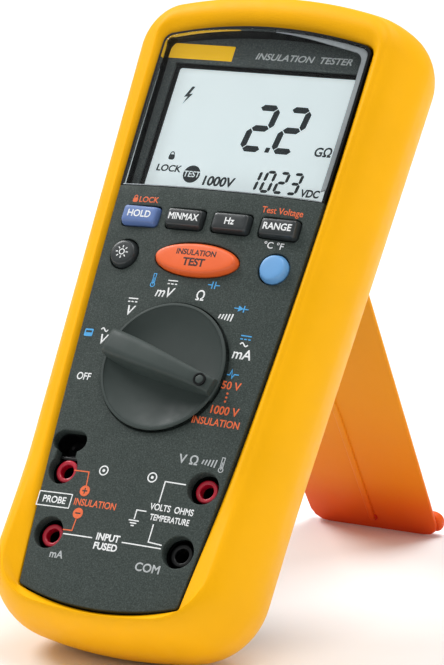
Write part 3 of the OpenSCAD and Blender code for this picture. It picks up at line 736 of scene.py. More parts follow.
PANEL_THICK = 3.4
PANEL_BEVEL = 0.28
KEY_GAP = 0.35
KNOB_GAP = 0.5
SHAFT_HOLE_R = 8.4
SHELF_W = -3.9
SKIRT_STEP_W = -6.0
SKIRT_THIN_W = -10.0
SKIRT_FOOT_W = -15.3
LOBE_U = 2.6
LOBE_R = 3.0
NECK_V = -48.6
NECK_HALF = 3.35


def key_centres():
    return [((k - 1.5) * KEY_PITCH, KEY_ROW_V) for k in range(4)]


def exit_distance(origin, direction, shape):
    """How far along direction a ray leaves a circle or a box, or 0 if it misses."""
    kind, a, b, size = shape
    ou, ov = origin
    du, dv = direction
    if kind == "circle":
        along = (a - ou) * du + (b - ov) * dv
        beside = (a - ou) ** 2 + (b - ov) ** 2 - along ** 2
        return along + math.sqrt(size ** 2 - beside) if beside < size ** 2 else 0.0
    spans = []
    for o, d, centre, half in ((ou, du, a, size[0]), (ov, dv, b, size[1])):
        if abs(d) < 1e-9:
            continue
        spans.append(max((centre - half - o) / d, (centre + half - o) / d))
    return min(spans)


def socket_loop(grow=0.0, count=140):
    """Outline of the probe recess, two lobes on a neck, where it runs into the plus jack's hole."""
    jack = JACKS["plus"]
    origin = (PROBE_U + 0.3, -49.6)
    shapes = [("circle", PROBE_U + side * LOBE_U, PROBE_V, LOBE_R + grow) for side in (-1, 1)]
    shapes += [("box", PROBE_U, PROBE_V, (LOBE_U, LOBE_R + grow)),
               ("box", PROBE_U + 0.05, NECK_V, (NECK_HALF + grow, 2.6)),
               ("circle", jack[0], jack[1], JACK_HOLE_R + grow)]
    loop = []
    for i in range(count):
        direction = polar(1, 2 * math.pi * i / count)
        far = max(exit_distance(origin, direction, shape) for shape in shapes)
        loop.append((origin[0] + far * direction[0], origin[1] + far * direction[1]))
    return loop


def clipped(ring, low=None, high=None):
    """The part of a ring below low or above high, closed along that level line."""
    limit = low if low is not None else high
    inside = [(v <= limit) if high is None else (v >= limit) for _, v in ring]
    points = []
    for i, (u, v) in enumerate(ring):
        j = (i + 1) % len(ring)
        if inside[i]:
            points.append((u, v))
        if inside[i] != inside[j]:
            share = (limit - v) / (ring[j][1] - v)
            points.append((u + (ring[j][0] - u) * share, limit))
    return points


def front_panel():
    holes = [rounded(u, v, KEY_WIDTH + 2 * KEY_GAP, KEY_HEIGHT + 2 * KEY_GAP, 1.3) for u, v in key_centres()]
    holes += [circle(side * ROUND_KEY_U, SECOND_ROW_V, ROUND_KEY_R + KEY_GAP) for side in (-1, 1)]
    holes.append(oval(0, SECOND_ROW_V, TEST_KEY_HALF[0] + KEY_GAP, TEST_KEY_HALF[1] + KEY_GAP))
    holes.append(circle(0, KNOB_V, KNOB_R + KNOB_GAP, 120))
    holes += [circle(*JACKS[name], JACK_HOLE_R) for name in ("volt", "current", "common")]
    holes.append(socket_loop())
    edge = clipped(panel_outline(PANEL_GAP), low=WINDOW_BOTTOM)
    plate = crowned(slab([edge] + holes, -PANEL_THICK, 0.0, PANEL_BEVEL, 3))
    floor_r = KNOB_R + 0.6
    floor = lathe([(SHAFT_HOLE_R, 0.4), (floor_r, 0.4), (floor_r, -0.6), (SHAFT_HOLE_R, -0.6)], 96)
    finished(joined(plate, moved(floor, v=KNOB_V), skirt()), "front_panel", "panel",
             replaced=["front_case"])


def skirt():
    """Hollow wall of the front shell, from the shelf under the panel down to the joint with the rear case."""
    outer = CASE_IN + 0.125
    inner = CASE_IN + 2.2
    wall = loft([raised(body_outline(outer, outer, outer), SKIRT_FOOT_W), front_ring(CASE_IN, 0, 0),
                 front_ring(CASE_IN, 25, 0), raised(shoulder(CASE_IN), SHELF_W),
                 raised(panel_outline(-0.3), SHELF_W), raised(panel_outline(-0.3), SKIRT_STEP_W),
                 raised(body_outline(inner + 3, inner + 1.5, inner + 3), SKIRT_STEP_W),
                 raised(body_outline(inner, inner, inner), SKIRT_THIN_W),
                 raised(body_outline(inner, inner, inner), SKIRT_FOOT_W)])
    drop_ends(wall)
    bridge_ends(wall)
    return wall


def drop_ends(bm):
    """Takes out the two end caps of a loft."""
    caps = [f for f in bm.faces if len(f.verts) > 4]
    bmesh.ops.delete(bm, geom=caps, context="FACES_ONLY")


def bridge_ends(bm):
    """Joins a loft's first ring to its last, which makes a hollow frame."""
    bmesh.ops.bridge_loops(bm, edges=[e for e in bm.edges if e.is_boundary])


# ---- Display ----

LENS_THICK = 1.8
WELL_BACK_W = -6.5
# Rounded rectangles: middle u and v, width, height and corner radius
BEZEL_OUTER = (0, 56.1, 64.6, 45.4, 0.6)
BEZEL_INNER = (0, 55.4, 59.0, 41.6, 0.8)
FILM = (0, 55.5, 62.0, 45.0, 0.5)
NAME_PLATE = (-23.4, 81.0, 22.4, 4.9, 0.25)
OPENING = [(-30.7, 34.0), (30.7, 34.0), (30.7, 77.4), (-30.7, 77.4)]


def upper(inset, gap):
    """The window's part of the panel outline, from a gap above the window's foot."""
    return clipped(panel_outline(inset), high=WINDOW_BOTTOM + gap)


def painted_lens_highlight():
    """Pale light caught in the lens's rounded edge: down the right, over the top and along the foot."""
    rings = list(zip(panel_outline(1.35), panel_outline(3.1)))
    run = [(a, b) for a, b in rings[:len(rings) // 2] if a[0] > 2 and a[1] > WINDOW_BOTTOM + 1.5]
    outer = [a for a, _ in run]
    inner = [between(a, b, ease((a[0] + 4) / 34)) for a, b in run]
    side = slab([outer + inner[::-1]], -1.5, -0.9, 0.1)
    foot = slab([rounded(0, WINDOW_BOTTOM + 0.36, 2 * PANEL_HALF, 0.3, 0.12)], -0.9, 0.0, 0.08)
    finished(crowned(joined(side, foot)), "painted_lens_highlight_band", "painted_lens_highlight")


def display():
    well = slab([upper(PANEL_GAP, 0.05), upper(1.2, 0.1)], WELL_BACK_W, -0.05)
    finished(crowned(well), "window_well", "well")
    lens = slab([upper(1.22, 0.12)], -LENS_THICK, 0.0, 0.1)
    finished(crowned(lens), "window_lens", "lens", replaced=["display_window"], angle=50)
    painted_lens_highlight()
    mask = slab([upper(1.25, 0.3), OPENING], GLASS_W - 0.4, MASK_W, 0.15)
    finished(mask, "window_mask", "mask", replaced=["display_mask"])
    step = slab([rounded(*BEZEL_OUTER), rounded(*BEZEL_INNER)], GLASS_W - 0.3, GLASS_W + 0.7, 0.1)
    finished(step, "display_bezel", "well")
    film = slab([rounded(*FILM)], GLASS_W - 2.1, GLASS_W, 0.1)
    finished(film, "display_film", "display", replaced=["display_glass"])
    plate = slab([rounded(*NAME_PLATE)], MASK_W, MASK_W + 0.12, 0.03)
    finished(plate, "name_plate", "plate")


# ---- Print: lines, marks and words as thin raised ink ----

CAP_HEIGHT = 0.682
INK_THICK = 0.05
LINE = 0.34


class Print:
    """Marks of one colour on one surface, gathered into one piece."""

    def __init__(self):
        self.bm = bmesh.new()

    def fill(self, *loops):
        pour(slab(loops, 0, INK_THICK), self.bm)

    def word(self, text, u, v, height, wide=1.0, weight=0.02, slant=0.0):
        """Word centred on (u, v). weight thickens its strokes, as a share of its height."""
        font = bpy.data.curves.new("word", "FONT")
        font.body = text
        font.align_x = "CENTER"
        font.size = height / CAP_HEIGHT
        font.shear = slant
        font.bevel_depth = weight * height
        font.bevel_resolution = 0
        part = mesh_of(font)
        bpy.data.curves.remove(font)
        part.transform(Matrix.Translation((0, -height / 2, INK_THICK / 2)))
        part.transform(Matrix.Diagonal((wide, 1, INK_THICK / (2 * weight * height), 1)))
        pour(moved(part, u, v), self.bm)

    def stroke(self, points, width=LINE):
        """Line of even width along points, with mitred joints."""
        left, right = [], []
        for i, point in enumerate(points):
            here = Vector(point)
            back = (here - Vector(points[i - 1])).normalized() if i else None
            ahead = (Vector(points[i + 1]) - here).normalized() if i + 1 < len(points) else None
            back = back or ahead
            ahead = ahead or back
            along = (back + ahead).normalized()
            side = Vector((-along.y, along.x)) * (width / 2 / max(0.4, along.dot(ahead)))
            left.append(tuple(here + side))
            right.append(tuple(here - side))
        self.fill(left + right[::-1])

    def ring(self, u, v, r, width):
        self.fill(circle(u, v, r, 36), circle(u, v, r - width, 36))

    def done(self, name, material, body="root", surface="crown", base=0.0, slot=""):
        """Lays the marks on the panel's crown, or flat at a height, and makes them a piece."""
        if surface == "crown":
            crowned(self.bm, 3.0)
        finished(moved(self.bm, w=base), name, material, body, angle=30)


def tilde(mark, u, v, width=2.4, height=0.5, line=0.36):
    points = [(u + width * (i / 16 - 0.5), v + height * math.sin(2 * math.pi * i / 16)) for i in range(17)]
    mark.stroke(points, line)


def direct(mark, u, v, width=3.2):
    """A bar over three dashes."""
    dash = width * 0.12
    mark.stroke([(u - width / 2, v + 0.5), (u + width / 2, v + 0.5)])
    for k in (-1, 0, 1):
        middle = u + k * width * 0.37
        mark.stroke([(middle - dash, v - 0.5), (middle + dash, v - 0.5)])


def sound(mark, u, v, bars=5, height=2.3, lean=0.35):
    """Slanted strokes that grow to the right."""
    for k in range(bars):
        tall = height * (0.45 + 0.55 * (k + 1) / bars)
        middle = u + k * 0.95
        mark.stroke([(middle - lean / 2, v - tall / 2), (middle + lean / 2, v + tall / 2)], 0.4)


def thermometer(mark, u, v, height=4.2):
    half = height / 2
    bulb_v = v - half + 0.8
    neck_v = v - half + 1.5
    mark.ring(u, bulb_v, 0.8, 0.26)
    mark.stroke([(u - 0.4, neck_v), (u - 0.4, v + half), (u + 0.4, v + half), (u + 0.4, neck_v)], 0.24)
    mark.stroke([(u, bulb_v), (u, v + height * 0.2)], 0.24)


def capacitor(mark, u, v):
    for side in (-1, 1):
        plate_u = u + side * 0.45
        mark.stroke([(plate_u, v - 1.1), (plate_u, v + 1.1)])
        mark.stroke([(plate_u, v), (u + side * 1.9, v)], 0.3)


def diode(mark, u, v):
    mark.fill([(u - 0.9, v - 0.9), (u + 0.7, v), (u - 0.9, v + 0.9)])
    mark.stroke([(u + 0.85, v - 1.0), (u + 0.85, v + 1.0)])
    mark.stroke([(u - 2.2, v), (u + 2.2, v)], 0.28)


def padlock(mark, u, v, size):
    mark.fill(rounded(u, v - size * 0.2, size, size * 0.85, size * 0.3))
    half = size * 0.3
    turns = [math.radians(a) for a in range(0, 181, 15)]
    bow = [(u + half * math.cos(a), v + size * (0.3 + 0.34 * math.sin(a))) for a in turns]
    mark.stroke([(u + half, v)] + bow + [(u - half, v)], size * 0.16)


def sun(mark, u, v, rays=8):
    mark.ring(u, v, 0.95, 0.3)
    for k in range(rays):
        angle = 2 * math.pi * k / rays
        mark.stroke([polar(1.3, angle, u, v), polar(2.0, angle, u, v)], 0.3)


def dial_print():
    white, blue, orange = Print(), Print(), Print()
    white.word("OFF", -25.2, -26.0, 2.1, 0.9)
    white.word("V", -23.0, -14.3, 2.9, 1.0, 0.02, 0.25)
    tilde(white, -23.0, -11.4)
    white.word("V", -17.0, -4.8, 2.9, 1.0, 0.02, 0.25)
    direct(white, -16.6, -1.6)
    white.word("mV", -7.4, 1.7, 2.9, 0.95, 0.02, 0.25)
    direct(white, -5.4, 4.9)
    white.word("Ω", 4.6, 1.8, 2.9, 0.9)
    sound(white, 12.4, -3.6)
    white.word("mA", 22.4, -13.9, 2.9, 0.95, 0.02, 0.1)
    tilde(white, 22.2, -11.0)
    blue.fill(rounded(-28.2, -12.6, 2.9, 2.3, 0.4), rounded(-28.2, -12.3, 2.1, 0.7, 0.15))
    thermometer(blue, -11.8, 5.0)
    capacitor(blue, 7.8, 5.4)
    diode(blue, 18.3, -0.6)
    direct(blue, 22.2, -8.9)
    wave = [(19.8, -20.4), (20.6, -20.4), (21.0, -18.9), (21.5, -21.2), (22.0, -20.1), (23.4, -20.1)]
    blue.stroke(wave, 0.32)
    orange.word("50 V", 22.0, -23.5, 2.2, 0.95, 0.03)
    for k in range(3):
        orange.fill(circle(21.6, -25.9 - 1.2 * k, 0.32, 16))
    orange.word("1000 V", 22.0, -31.0, 2.3, 0.92, 0.03)
    orange.word("INSULATION", 20.6, -34.7, 2.0, 0.86, 0.03)
    padlock(orange, -26.4, 30.0, 1.7)
    orange.word("LOCK", -21.8, 29.9, 1.7, 1.0, 0.03)
    orange.word("Test Voltage", 22.0, 30.1, 1.9, 0.9, 0.02)
    white.word("°C °F", 22.3, 19.5, 1.9, 1.0)
    white.done("dial_print_white", "white_ink", slot="white_plastic")
    blue.done("dial_print_blue", "blue_ink", slot="key_blue")
    orange.done("dial_print_orange", "orange_ink", slot="key_orange")


def input_print():
    pale, white, orange = Print(), Print(), Print()
    pale.word("V Ω", 16.0, -46.5, 2.5, 1.0, 0.03)
    sound(pale, 20.4, -46.5, 5, 2.3)
    thermometer(pale, 26.2, -46.6, 4.4)
    pale.word("mA", -16.0, -79.0, 2.1, 1.0, 0.03)
    pale.word("COM", 13.4, -78.9, 2.3, 1.0, 0.03)
    white.stroke([(17.4, -53.8), (11.0, -53.8), (11.0, -60.0)])
    white.stroke([(11.3, -66.4), (11.3, -71.6), (15.6, -71.9)])
    white.stroke([(-15.8, -72.9), (-6.2, -72.9)])
    white.stroke([(3.4, -72.9), (15.6, -72.9)])
    white.word("FUSED", -1.3, -74.9, 1.9, 0.95, 0.045)
    white.word("INPUT", -1.3, -72.2, 1.9, 0.95, 0.045)
    white.word("VOLTS  OHMS", 15.4, -61.4, 1.8, 0.8, 0.03)
    white.word("TEMPERATURE", 15.6, -64.4, 1.7, 0.74, 0.03)
    white.stroke([(5.0, -65.8), (5.0, -63.1), (8.0, -63.1)])
    for k, half in enumerate((1.6, 1.05, 0.5)):
        white.stroke([(5.0 - half, -66.2 - 0.75 * k), (5.0 + half, -66.2 - 0.75 * k)])
    white.fill(rounded(-22.2, -63.4, 11.4, 4.4, 0.2), rounded(-22.2, -63.4, 10.8, 3.8, 0.15))
    white.word("PROBE", -22.2, -63.4, 1.9, 0.95, 0.03)
    for u, v in ((-9.0, -53.2), (6.7, -53.2)):
        white.ring(u, v, 1.5, 0.36)
        white.fill(circle(u, v, 0.45, 20))
    orange.stroke([(-18.6, -54.2), (-13.6, -54.2), (-13.1, -58.2)])
    orange.stroke([(-13.1, -68.2), (-13.3, -71.7), (-16.3, -71.7)])
    for v, bars in ((-59.8, 2), (-66.5, 1)):
        cross = [rounded(-13.1, v, 1.7, 0.42, 0.05)] if bars == 1 else [plus_loop(-13.1, v, 0.85, 0.21)]
        orange.fill(circle(-13.1, v, 1.6, 32), *cross)
    orange.word("INSULATION", -8.6, -63.2, 1.9, 0.86, 0.03)
    pale.done("input_print_grey", "grey_ink", slot="mask_grey")
    white.done("input_print_white", "white_ink", slot="white_plastic")
    orange.done("input_print_orange", "orange_ink", slot="key_orange")


def plus_loop(u, v, far, half):
    """Outline of a plus sign."""
    quarter = [(far, half), (half, half), (half, far)]
    points = []
    for k in range(4):
        a = math.pi / 2 * k
        for x, y in quarter:
            points.append((u + x * math.cos(a) - y * math.sin(a), v + x * math.sin(a) + y * math.cos(a)))
    return points


DIGIT_BARS = {"0": "abcdef", "1": "bc", "2": "abged", "3": "abgcd"}


def digit(mark, number, u, v, width, height, line, lean=0.16):
    """Seven-segment digit with its lower left corner at (u, v), leaning to the right."""
    half = height / 2
    gap = line * 0.1
    cut_back = line / 2
    bars = {"a": ((0, height), (width, height)), "b": ((width, height), (width, half)),
            "c": ((width, half), (width, 0)), "d": ((0, 0), (width, 0)), "e": ((0, half), (0, 0)),
            "f": ((0, height), (0, half)), "g": ((0, half), (width, half))}
    for name in DIGIT_BARS[number]:
        start, end = Vector(bars[name][0]), Vector(bars[name][1])
        along = (end - start).normalized()
        side = Vector((-along.y, along.x)) * cut_back
        a, b = start + along * gap, end - along * gap
        loop = [a, a + along * cut_back + side, b - along * cut_back + side, b,
                b - along * cut_back - side, a + along * cut_back - side]
        mark.fill([(u + p.x + lean * p.y, v + p.y) for p in loop])


def display_print():
    dark, pale, header = Print(), Print(), Print()
    for u in (-1.3, 9.0):
        digit(dark, "2", u, 51.9, 6.0, 13.4, 1.95)
    dark.fill([(6.3, 51.1), (7.7, 51.1), (7.95, 52.7), (6.55, 52.7)])
    dark.word("GΩ", 25.0, 52.6, 2.7, 0.95, 0.045, 0.1)
    digit(dark, "1", 4.0, 38.9, 2.6, 6.2, 0.95)
    for number, u in (("0", 8.6), ("2", 13.0), ("3", 17.4)):
        digit(dark, number, u, 38.9, 2.6, 6.2, 0.95)
    dark.word("VDC", 24.7, 39.4, 2.2, 0.9, 0.06, 0.1)
    dark.word("1000V", -6.0, 40.7, 2.8, 1.0, 0.055, 0.1)
    dark.fill(circle(-15.0, 42.3, 2.8, 40))
    dark.word("LOCK", -23.2, 43.6, 2.0, 1.05, 0.05, 0.1)
    padlock(dark, -23.3, 47.6, 2.0)
    bolt = [(-23.6, 70.4), (-25.4, 66.9), (-24.2, 67.1), (-25.2, 64.6), (-22.7, 68.1), (-23.9, 67.9),
            (-22.6, 70.4)]
    dark.fill(bolt)
    pale.word("TEST", -15.0, 42.3, 1.8, 0.95, 0.02, 0.1)
    header.word("INSULATION  TESTER", 11.0, 80.9, 2.0, 1.12, 0.035, 0.25)
    dark.done("display_segments", "segment", surface="flat", base=GLASS_W, slot="chip_black")
    pale.done("display_reversed_word", "display", surface="flat", base=GLASS_W + INK_THICK,
              slot="display_pale")
    header.done("header_print", "white_ink", surface="flat", base=MASK_W, slot="mask_grey")


# ---- Keys ----

def key_cap(outer, inner, u, proud):
    """Key whose sides draw in from outer to inner, with a round shoulder and a slight crown."""
    top = crown(u) + proud
    levels = [(0.0, KEY_FOOT_W), (0.0, crown(u) - 0.2), (0.45, top - 0.75), (0.62, top - 0.32),
              (0.8, top - 0.1), (1.0, top), (1.5, top + 0.06), (2.6, top + 0.1)]
    return loft([[(*between(a, b, share), w) for a, b in zip(outer, inner)] for share, w in levels])


def keys():
    row = [("hold_key", "HOLD", "violet", 0.95), ("minmax_key", "MINMAX", "dark", 0.84),
           ("hertz_key", "Hz", "dark", 0.95), ("range_key", "RANGE", "dark", 0.95)]
    for (u, v), (name, text, colour, wide) in zip(key_centres(), row):
        cap = key_cap(rounded(u, v, KEY_WIDTH, KEY_HEIGHT, 1.1, 8),
                      rounded(u, v + 0.1, KEY_WIDTH - 1.7, KEY_HEIGHT - 1.7, 0.7, 8), u, KEY_PROUD)
        put_key(cap, name, colour)
        mark = Print()
        mark.word(text, u, v + 0.1, 2.0, wide, 0.03)
        print_key(mark, name, crown(u) + KEY_PROUD + 0.09)
    for side, name, colour in ((-1, "backlight_key", "dark"), (1, "shift_key", "blue")):
        u = side * ROUND_KEY_U
        cap = key_cap(circle(u, SECOND_ROW_V, ROUND_KEY_R), circle(u, SECOND_ROW_V, ROUND_KEY_R - 1.0),
                      u, ROUND_KEY_PROUD)
        put_key(cap, name, colour)
    mark = Print()
    sun(mark, -ROUND_KEY_U, SECOND_ROW_V)
    print_key(mark, "backlight_key", crown(ROUND_KEY_U) + KEY_PROUD - 0.01)
    half_u, half_v = TEST_KEY_HALF
    cap = key_cap(oval(0, SECOND_ROW_V, half_u, half_v), oval(0, SECOND_ROW_V, half_u - 1.1, half_v - 1.1),
                  0, ROUND_KEY_PROUD)
    finished(cap, "test_key_cap_shell", "orange_key", "test_key_body",
             replaced=["test_key_cap"])
    mark = Print()
    mark.word("INSULATION", 0.2, SECOND_ROW_V + 1.6, 1.6, 0.95, 0.05)
    mark.word("TEST", 0.2, SECOND_ROW_V - 1.3, 2.2, 1.0, 0.075)
    print_key(mark, "test_key", CROWN_TOP + KEY_PROUD - 0.01, "dark_ink", "black_rubber")


def put_key(cap, name, colour):
    finished(cap, name + "_cap", colour + "_key", name + "_body", replaced=[name])


def print_key(mark, name, base, material="white_ink", slot="white_plastic"):
    mark.done(name + "_print", material, name + "_body", "flat", base, slot)


# ---- Knob ----

KNOB_WALL_R = 17.6
DISH_R = 18.3
DISH_FLOOR_W = 1.55
DISH_DEPTH = 2.2
DISH_POWER = 4
DISH_STEPS = 24
DOT_REACH = 15.8
DOT_R = 1.5
DOT_FOOT_W = 6.0
DOT_SHOULDER_W = 7.9
GRIP_FOOT_W = 2.0


def knob():
    """Undercut skirt, rolled rim and dished face with a grip bar over it, and the pointer's dot."""
    rim = KNOB_RIM_W
    profile = [(0.0, KNOB_FOOT_W), (KNOB_WALL_R, KNOB_FOOT_W), (KNOB_WALL_R + 0.2, rim - 1.6)]
    profile += arc(KNOB_R - 0.2, rim - 0.4, 0.4, -40, 90) + [(18.5, rim), (18.35, rim - 0.2)]
    for k in range(DISH_STEPS, 0, -1):
        share = k / DISH_STEPS
        profile.append((DISH_R * k / DISH_STEPS, DISH_FLOOR_W + DISH_DEPTH * share ** DISH_POWER))
    disc = moved(lathe(profile + [(0.0, DISH_FLOOR_W)], 144), v=KNOB_V)
    grip = moved(knob_grip(), v=KNOB_V, turn=POINTER_ANGLE)
    finished(joined(disc, grip), "knob_shell", "knob", "knob",
             replaced=["function_knob"], angle=50)
    place = Vector(polar(DOT_REACH, POINTER_ANGLE))
    cap = arc(DOT_R - 0.6, DOT_SHOULDER_W, 0.6, 0, 90) + [(0.4, 8.56), (0.0, 8.58)]
    dot = moved(lathe([(0.0, DOT_FOOT_W), (DOT_R, DOT_FOOT_W)] + cap, 40), place.x, KNOB_V + place.y)
    finished(dot, "knob_pointer_dot", "knob", "knob", replaced=["knob_dot"])
    # A black ring round the dot: painted shade in the groove between the dot and the grip
    groove = lathe([(1.4, DOT_SHOULDER_W), (1.85, DOT_SHOULDER_W), (1.85, 8.54), (1.4, 8.54)], 40)
    finished(moved(groove, place.x, KNOB_V + place.y), "knob_dot_groove_shade", "well", "knob")


def grip_half(x):
    """Half width of the grip bar at x along it, from the blunt end to the pointer."""
    return 3.9 - 1.5 * ease((x + 14.0) / 32.0)


def grip_top(x):
    """Height of the grip bar's back, which sinks a little to both ends and more at the pointer."""
    return KNOB_TOP_W - 0.1 - x * x / 240 - 0.9 * ease((x - 12.5) / 7.0)


def knob_grip(stations=40):
    """Bar over the knob's whole width: flared flanks and a softly rounded top."""
    bm = bmesh.new()
    reach = KNOB_R - 0.25
    section = [(1.28, -0.2), (1.1, 0.2), (1.02, 0.55), (0.97, 0.8), (0.88, 0.93), (0.7, 0.985), (0.4, 1.0)]
    section = section + [(0.0, 1.0)] + [(-y, z) for y, z in reversed(section)]
    rows = []
    for i in range(stations + 1):
        share = -math.cos(math.pi * i / stations)
        row = []
        for y_share, z_share in section:
            y = y_share * grip_half(share * reach)
            x = share * math.sqrt(reach * reach - y * y)
            end_round = 0.5 * ease((abs(share) - 0.93) / 0.07)
            row.append(bm.verts.new((x, y, GRIP_FOOT_W + (grip_top(x) - end_round - GRIP_FOOT_W) * z_share)))
        rows.append(row)
    for a, b in zip(rows, rows[1:]):
        for p, q, r, s in zip(a, a[1:], b[1:], b):
            bm.faces.new((p, q, r, s))
        bm.faces.new((a[-1], a[0], b[0], b[-1]))
    bm.faces.new(rows[0])
    bm.faces.new(rows[-1])
    return bm


# ---- Jacks and the probe recess ----

def sleeve(u, v):
    """Coloured sleeve with a rounded mouth that takes a plug."""
    profile = [(SLEEVE_R, -24.0), (SLEEVE_R, -1.2)] + arc(SLEEVE_R - 0.45, -1.05, 0.45, 0, 90)
    profile += arc(SLEEVE_BORE + 0.45, -1.05, 0.45, 90, 180) + [(SLEEVE_BORE, -24.0)]
    return moved(lathe(profile, 56), u, v)


def jack_well(u, v):
    """Black shroud around a sleeve, just under the panel's hole."""
    profile = [(JACK_HOLE_R + 0.45, -1.9), (JACK_HOLE_R - 0.05, -1.9), (JACK_HOLE_R - 0.25, -9.0),
               (SLEEVE_R + 0.1, -9.4), (SLEEVE_R + 0.1, -10.0), (JACK_HOLE_R + 0.45, -10.0)]
    return moved(lathe(profile, 56), u, v)


def bore_shade_lining(u, v):
    """Dark sheet inside a sleeve's bore: painted shade."""
    inner = SLEEVE_BORE - 0.1
    outer = SLEEVE_BORE + 0.2
    profile = [(outer, -3.0), (inner, -3.0), (inner, -20.0), (0.0, -20.0), (0.0, -21.0), (outer, -21.0)]
    return moved(lathe(profile, 48), u, v)


def jacks():
    red = joined(*[sleeve(*JACKS[name]) for name in ("plus", "volt", "current")])
    finished(red, "red_sleeves", "jack_red", replaced=["red_jack_sleeves"])
    finished(sleeve(*JACKS["common"]), "black_sleeve", "jack_black",
             replaced=["black_jack_sleeve"])
    for shape, name in ((bore_shade_lining, "jack_bore_shades"), (jack_well, "jack_wells")):
        finished(joined(*[shape(*place) for place in JACKS.values()]), name, "well")
    probe_recess()


def probe_recess():
    """Keyhole recess that opens into the plus jack, with a bridge between the two."""
    floor = slab([clipped(socket_loop(0.3), high=-50.0)], -8.8, -8.2, 0.0)
    wall = slab([socket_loop(0.5), socket_loop(0.02)], -8.6, -0.9, 0.0)
    in_jack = [f for f in wall.faces if max(vert.co.y for vert in f.verts) < -50.6]
    bmesh.ops.delete(wall, geom=in_jack, context="FACES")
    bridge = slab([rounded(PROBE_U + 0.2, -50.1, 6.6, 0.9, 0.4)], -8.6, -0.7, 0.3, 4)
    finished(joined(floor, wall, bridge), "probe_recess", "jack_black",
             replaced=["probe_socket"])


# ---- Tilt stand ----

# Rounded rectangles: middle u and v, width, height and corner radius
FOOT = (0, -LEG_LENGTH + 4.8, 47.4, 7.2, 3.2)
RIB = (0, -LEG_LENGTH / 2 - 2, 2.2, LEG_LENGTH - 14, 1.0)
FLANKS = [(u, -60, 2.0, 100, 0.9) for u in (-18.6, 18.6)]


def stand():
    low = -LEG_PLATE / 2 - 0.1
    high = low + LEG_PLATE
    chamfer = BARREL_R - 0.3
    barrel = lathe([(0.0, -LEG_HALF), (chamfer, -LEG_HALF), (BARREL_R, -LEG_HALF + 0.3),
                    (BARREL_R, LEG_HALF - 0.3), (chamfer, LEG_HALF), (0.0, LEG_HALF)], 48)
    barrel.transform(Matrix.Rotation(math.pi / 2, 4, "Y"))
    foot = slab([rounded(*FOOT)], low - 1.7, high - 1.4, 1.2, 5)
    rib = slab([rounded(*RIB)], high - 0.4, high + 0.62, 0.5, 4)
    flanks = [slab([rounded(*flank)], low - 1.6, low + 0.4, 0.4, 3) for flank in FLANKS]
    hold = Matrix.Translation((0, HINGE_V, HINGE_W)) @ Matrix.Rotation(STAND_OPEN, 4, "X")
    finished(joined(stand_plate(low, high), barrel, foot, rib, *flanks), "stand_shell", "stand", "stand",
             replaced=["tilt_stand"], hold=hold)
    # A low red button with a dimple, near the lower end of the rib
    button = [(0.0, -0.5), (1.5, -0.5), (1.5, 0.12)]
    button += arc(1.2, 0.12, 0.3, 0, 180) + [(0.8, -0.1), (0.0, -0.2)]
    finished(moved(lathe(button, 40), 0.4, -LEG_LENGTH + 6.4, high), "stand_red_spot", "red_spot", "stand",
             hold=hold)


def stand_plate(low, high):
    """Flat leg with rounded lower corners and drafted edges, hung from the hinge line at v = 0."""
    end = -LEG_LENGTH + 0.9
    right = [(LEG_HALF, 0), (LEG_HALF, -16), (22.8, end + 12), (22.6, end + 5), (21.6, end + 2.2),
             (19.6, end + 0.5), (17.0, end)]
    edge = [(-LEG_HALF, 0)] + right + [(-u, v) for u, v in right[:0:-1]]
    levels = [(2.4, low), (0.15, high - 1.0), (0.0, high - 0.6), (0.0, high - 0.3), (0.3, high)]
    return loft([[(u * (1 - draft / LEG_HALF), v + draft * (1 if v < end / 2 else -1), w) for u, v in edge]
                 for draft, w in levels])


# ---- Camera, light and floor ----

AZIMUTH = math.radians(29.22)
ELEVATION = math.radians(12.04)
DISTANCE = 863 * MM
AIM_RIGHT = 9.46
AIM_DOWN = 8.11
FOCAL_LENGTH = 164.9


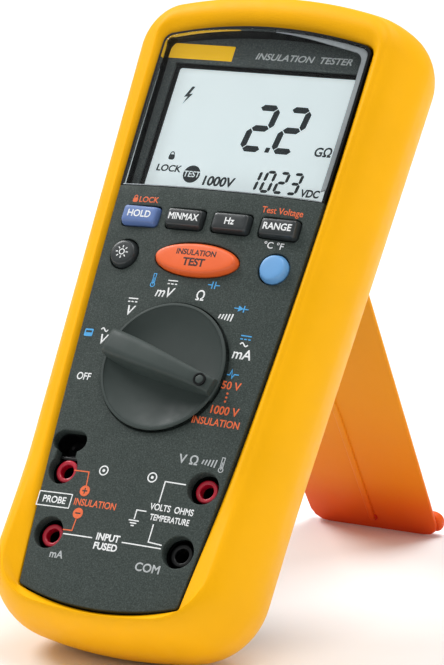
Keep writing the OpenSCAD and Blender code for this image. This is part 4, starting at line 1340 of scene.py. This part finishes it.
def camera():
    """Looks at the tester from its lower right."""
    level = math.cos(ELEVATION)
    back = Vector((math.sin(AZIMUTH) * level, -math.cos(AZIMUTH) * level, math.sin(ELEVATION)))
    right = Vector((math.cos(AZIMUTH), math.sin(AZIMUTH), 0))
    up = back.cross(right)
    target = ORIGIN + right * AIM_RIGHT * MM - up * AIM_DOWN * MM
    data = bpy.data.cameras.new("camera")
    data.lens = FOCAL_LENGTH
    data.sensor_width = 36
    data.clip_start = 0.01
    data.clip_end = 50
    view = put("camera", data)
    turn = Matrix((right, up, back)).transposed().to_4x4()
    view.matrix_world = Matrix.Translation(target + back * DISTANCE) @ turn
    bpy.context.scene.camera = view


def area(name, place, target, size, power):
    """Rectangular light at a place, turned to a target."""
    data = bpy.data.lights.new(name, "AREA")
    data.shape = "RECTANGLE"
    data.size, data.size_y = size
    data.energy = power
    light = put(name, data)
    light.location = place
    light.rotation_euler = (Vector(place) - Vector(target)).to_track_quat("Z", "Y").to_euler()


def sunlight(name, towards, power, width):
    """Even soft light from one side. width is its spread in degrees."""
    data = bpy.data.lights.new(name, "SUN")
    data.energy = power
    data.angle = math.radians(width)
    light = put(name, data)
    light.rotation_euler = Vector(towards).to_track_quat("Z", "Y").to_euler()


def studio():
    scene = bpy.context.scene
    world = bpy.data.worlds.new("studio")
    world.use_nodes = True
    preset(world.node_tree.nodes["Background"], {"Color": (1, 1, 1, 1), "Strength": 0.48})
    scene.world = world
    scene.view_settings.view_transform = "Standard"
    centre = (0, 0, 0.09)
    sunlight("top_sun", (0.18, 0.06, 0.98), 1.0, 30)
    sunlight("left_sun", (-0.66, 0.0, 0.75), 1.9, 24)
    area("right_light", (0.9, 0.1, 0.5), centre, (0.3, 0.9), 1.2)
    area("top_light", (0.15, 0.5, 1.0), centre, (0.9, 0.3), 3.5)
    bm = bmesh.new()
    bmesh.ops.create_grid(bm, x_segments=8, y_segments=8, size=3.0)
    mesh = bpy.data.meshes.new("floor")
    bm.to_mesh(mesh)
    bm.free()
    plastic("floor_paper", (0.93, 0.93, 0.93, 1), 0.7, 0.01, 400)
    mesh.materials.append(MATERIALS["floor_paper"])
    floor = put("floor", mesh)
    floor.location.z = CAD_BOX[0][2]


camera()
studio()
make_materials()
dress_nodes()
holster()
front_panel()
display()
display_print()
dial_print()
input_print()
keys()
knob()
jacks()
stand()
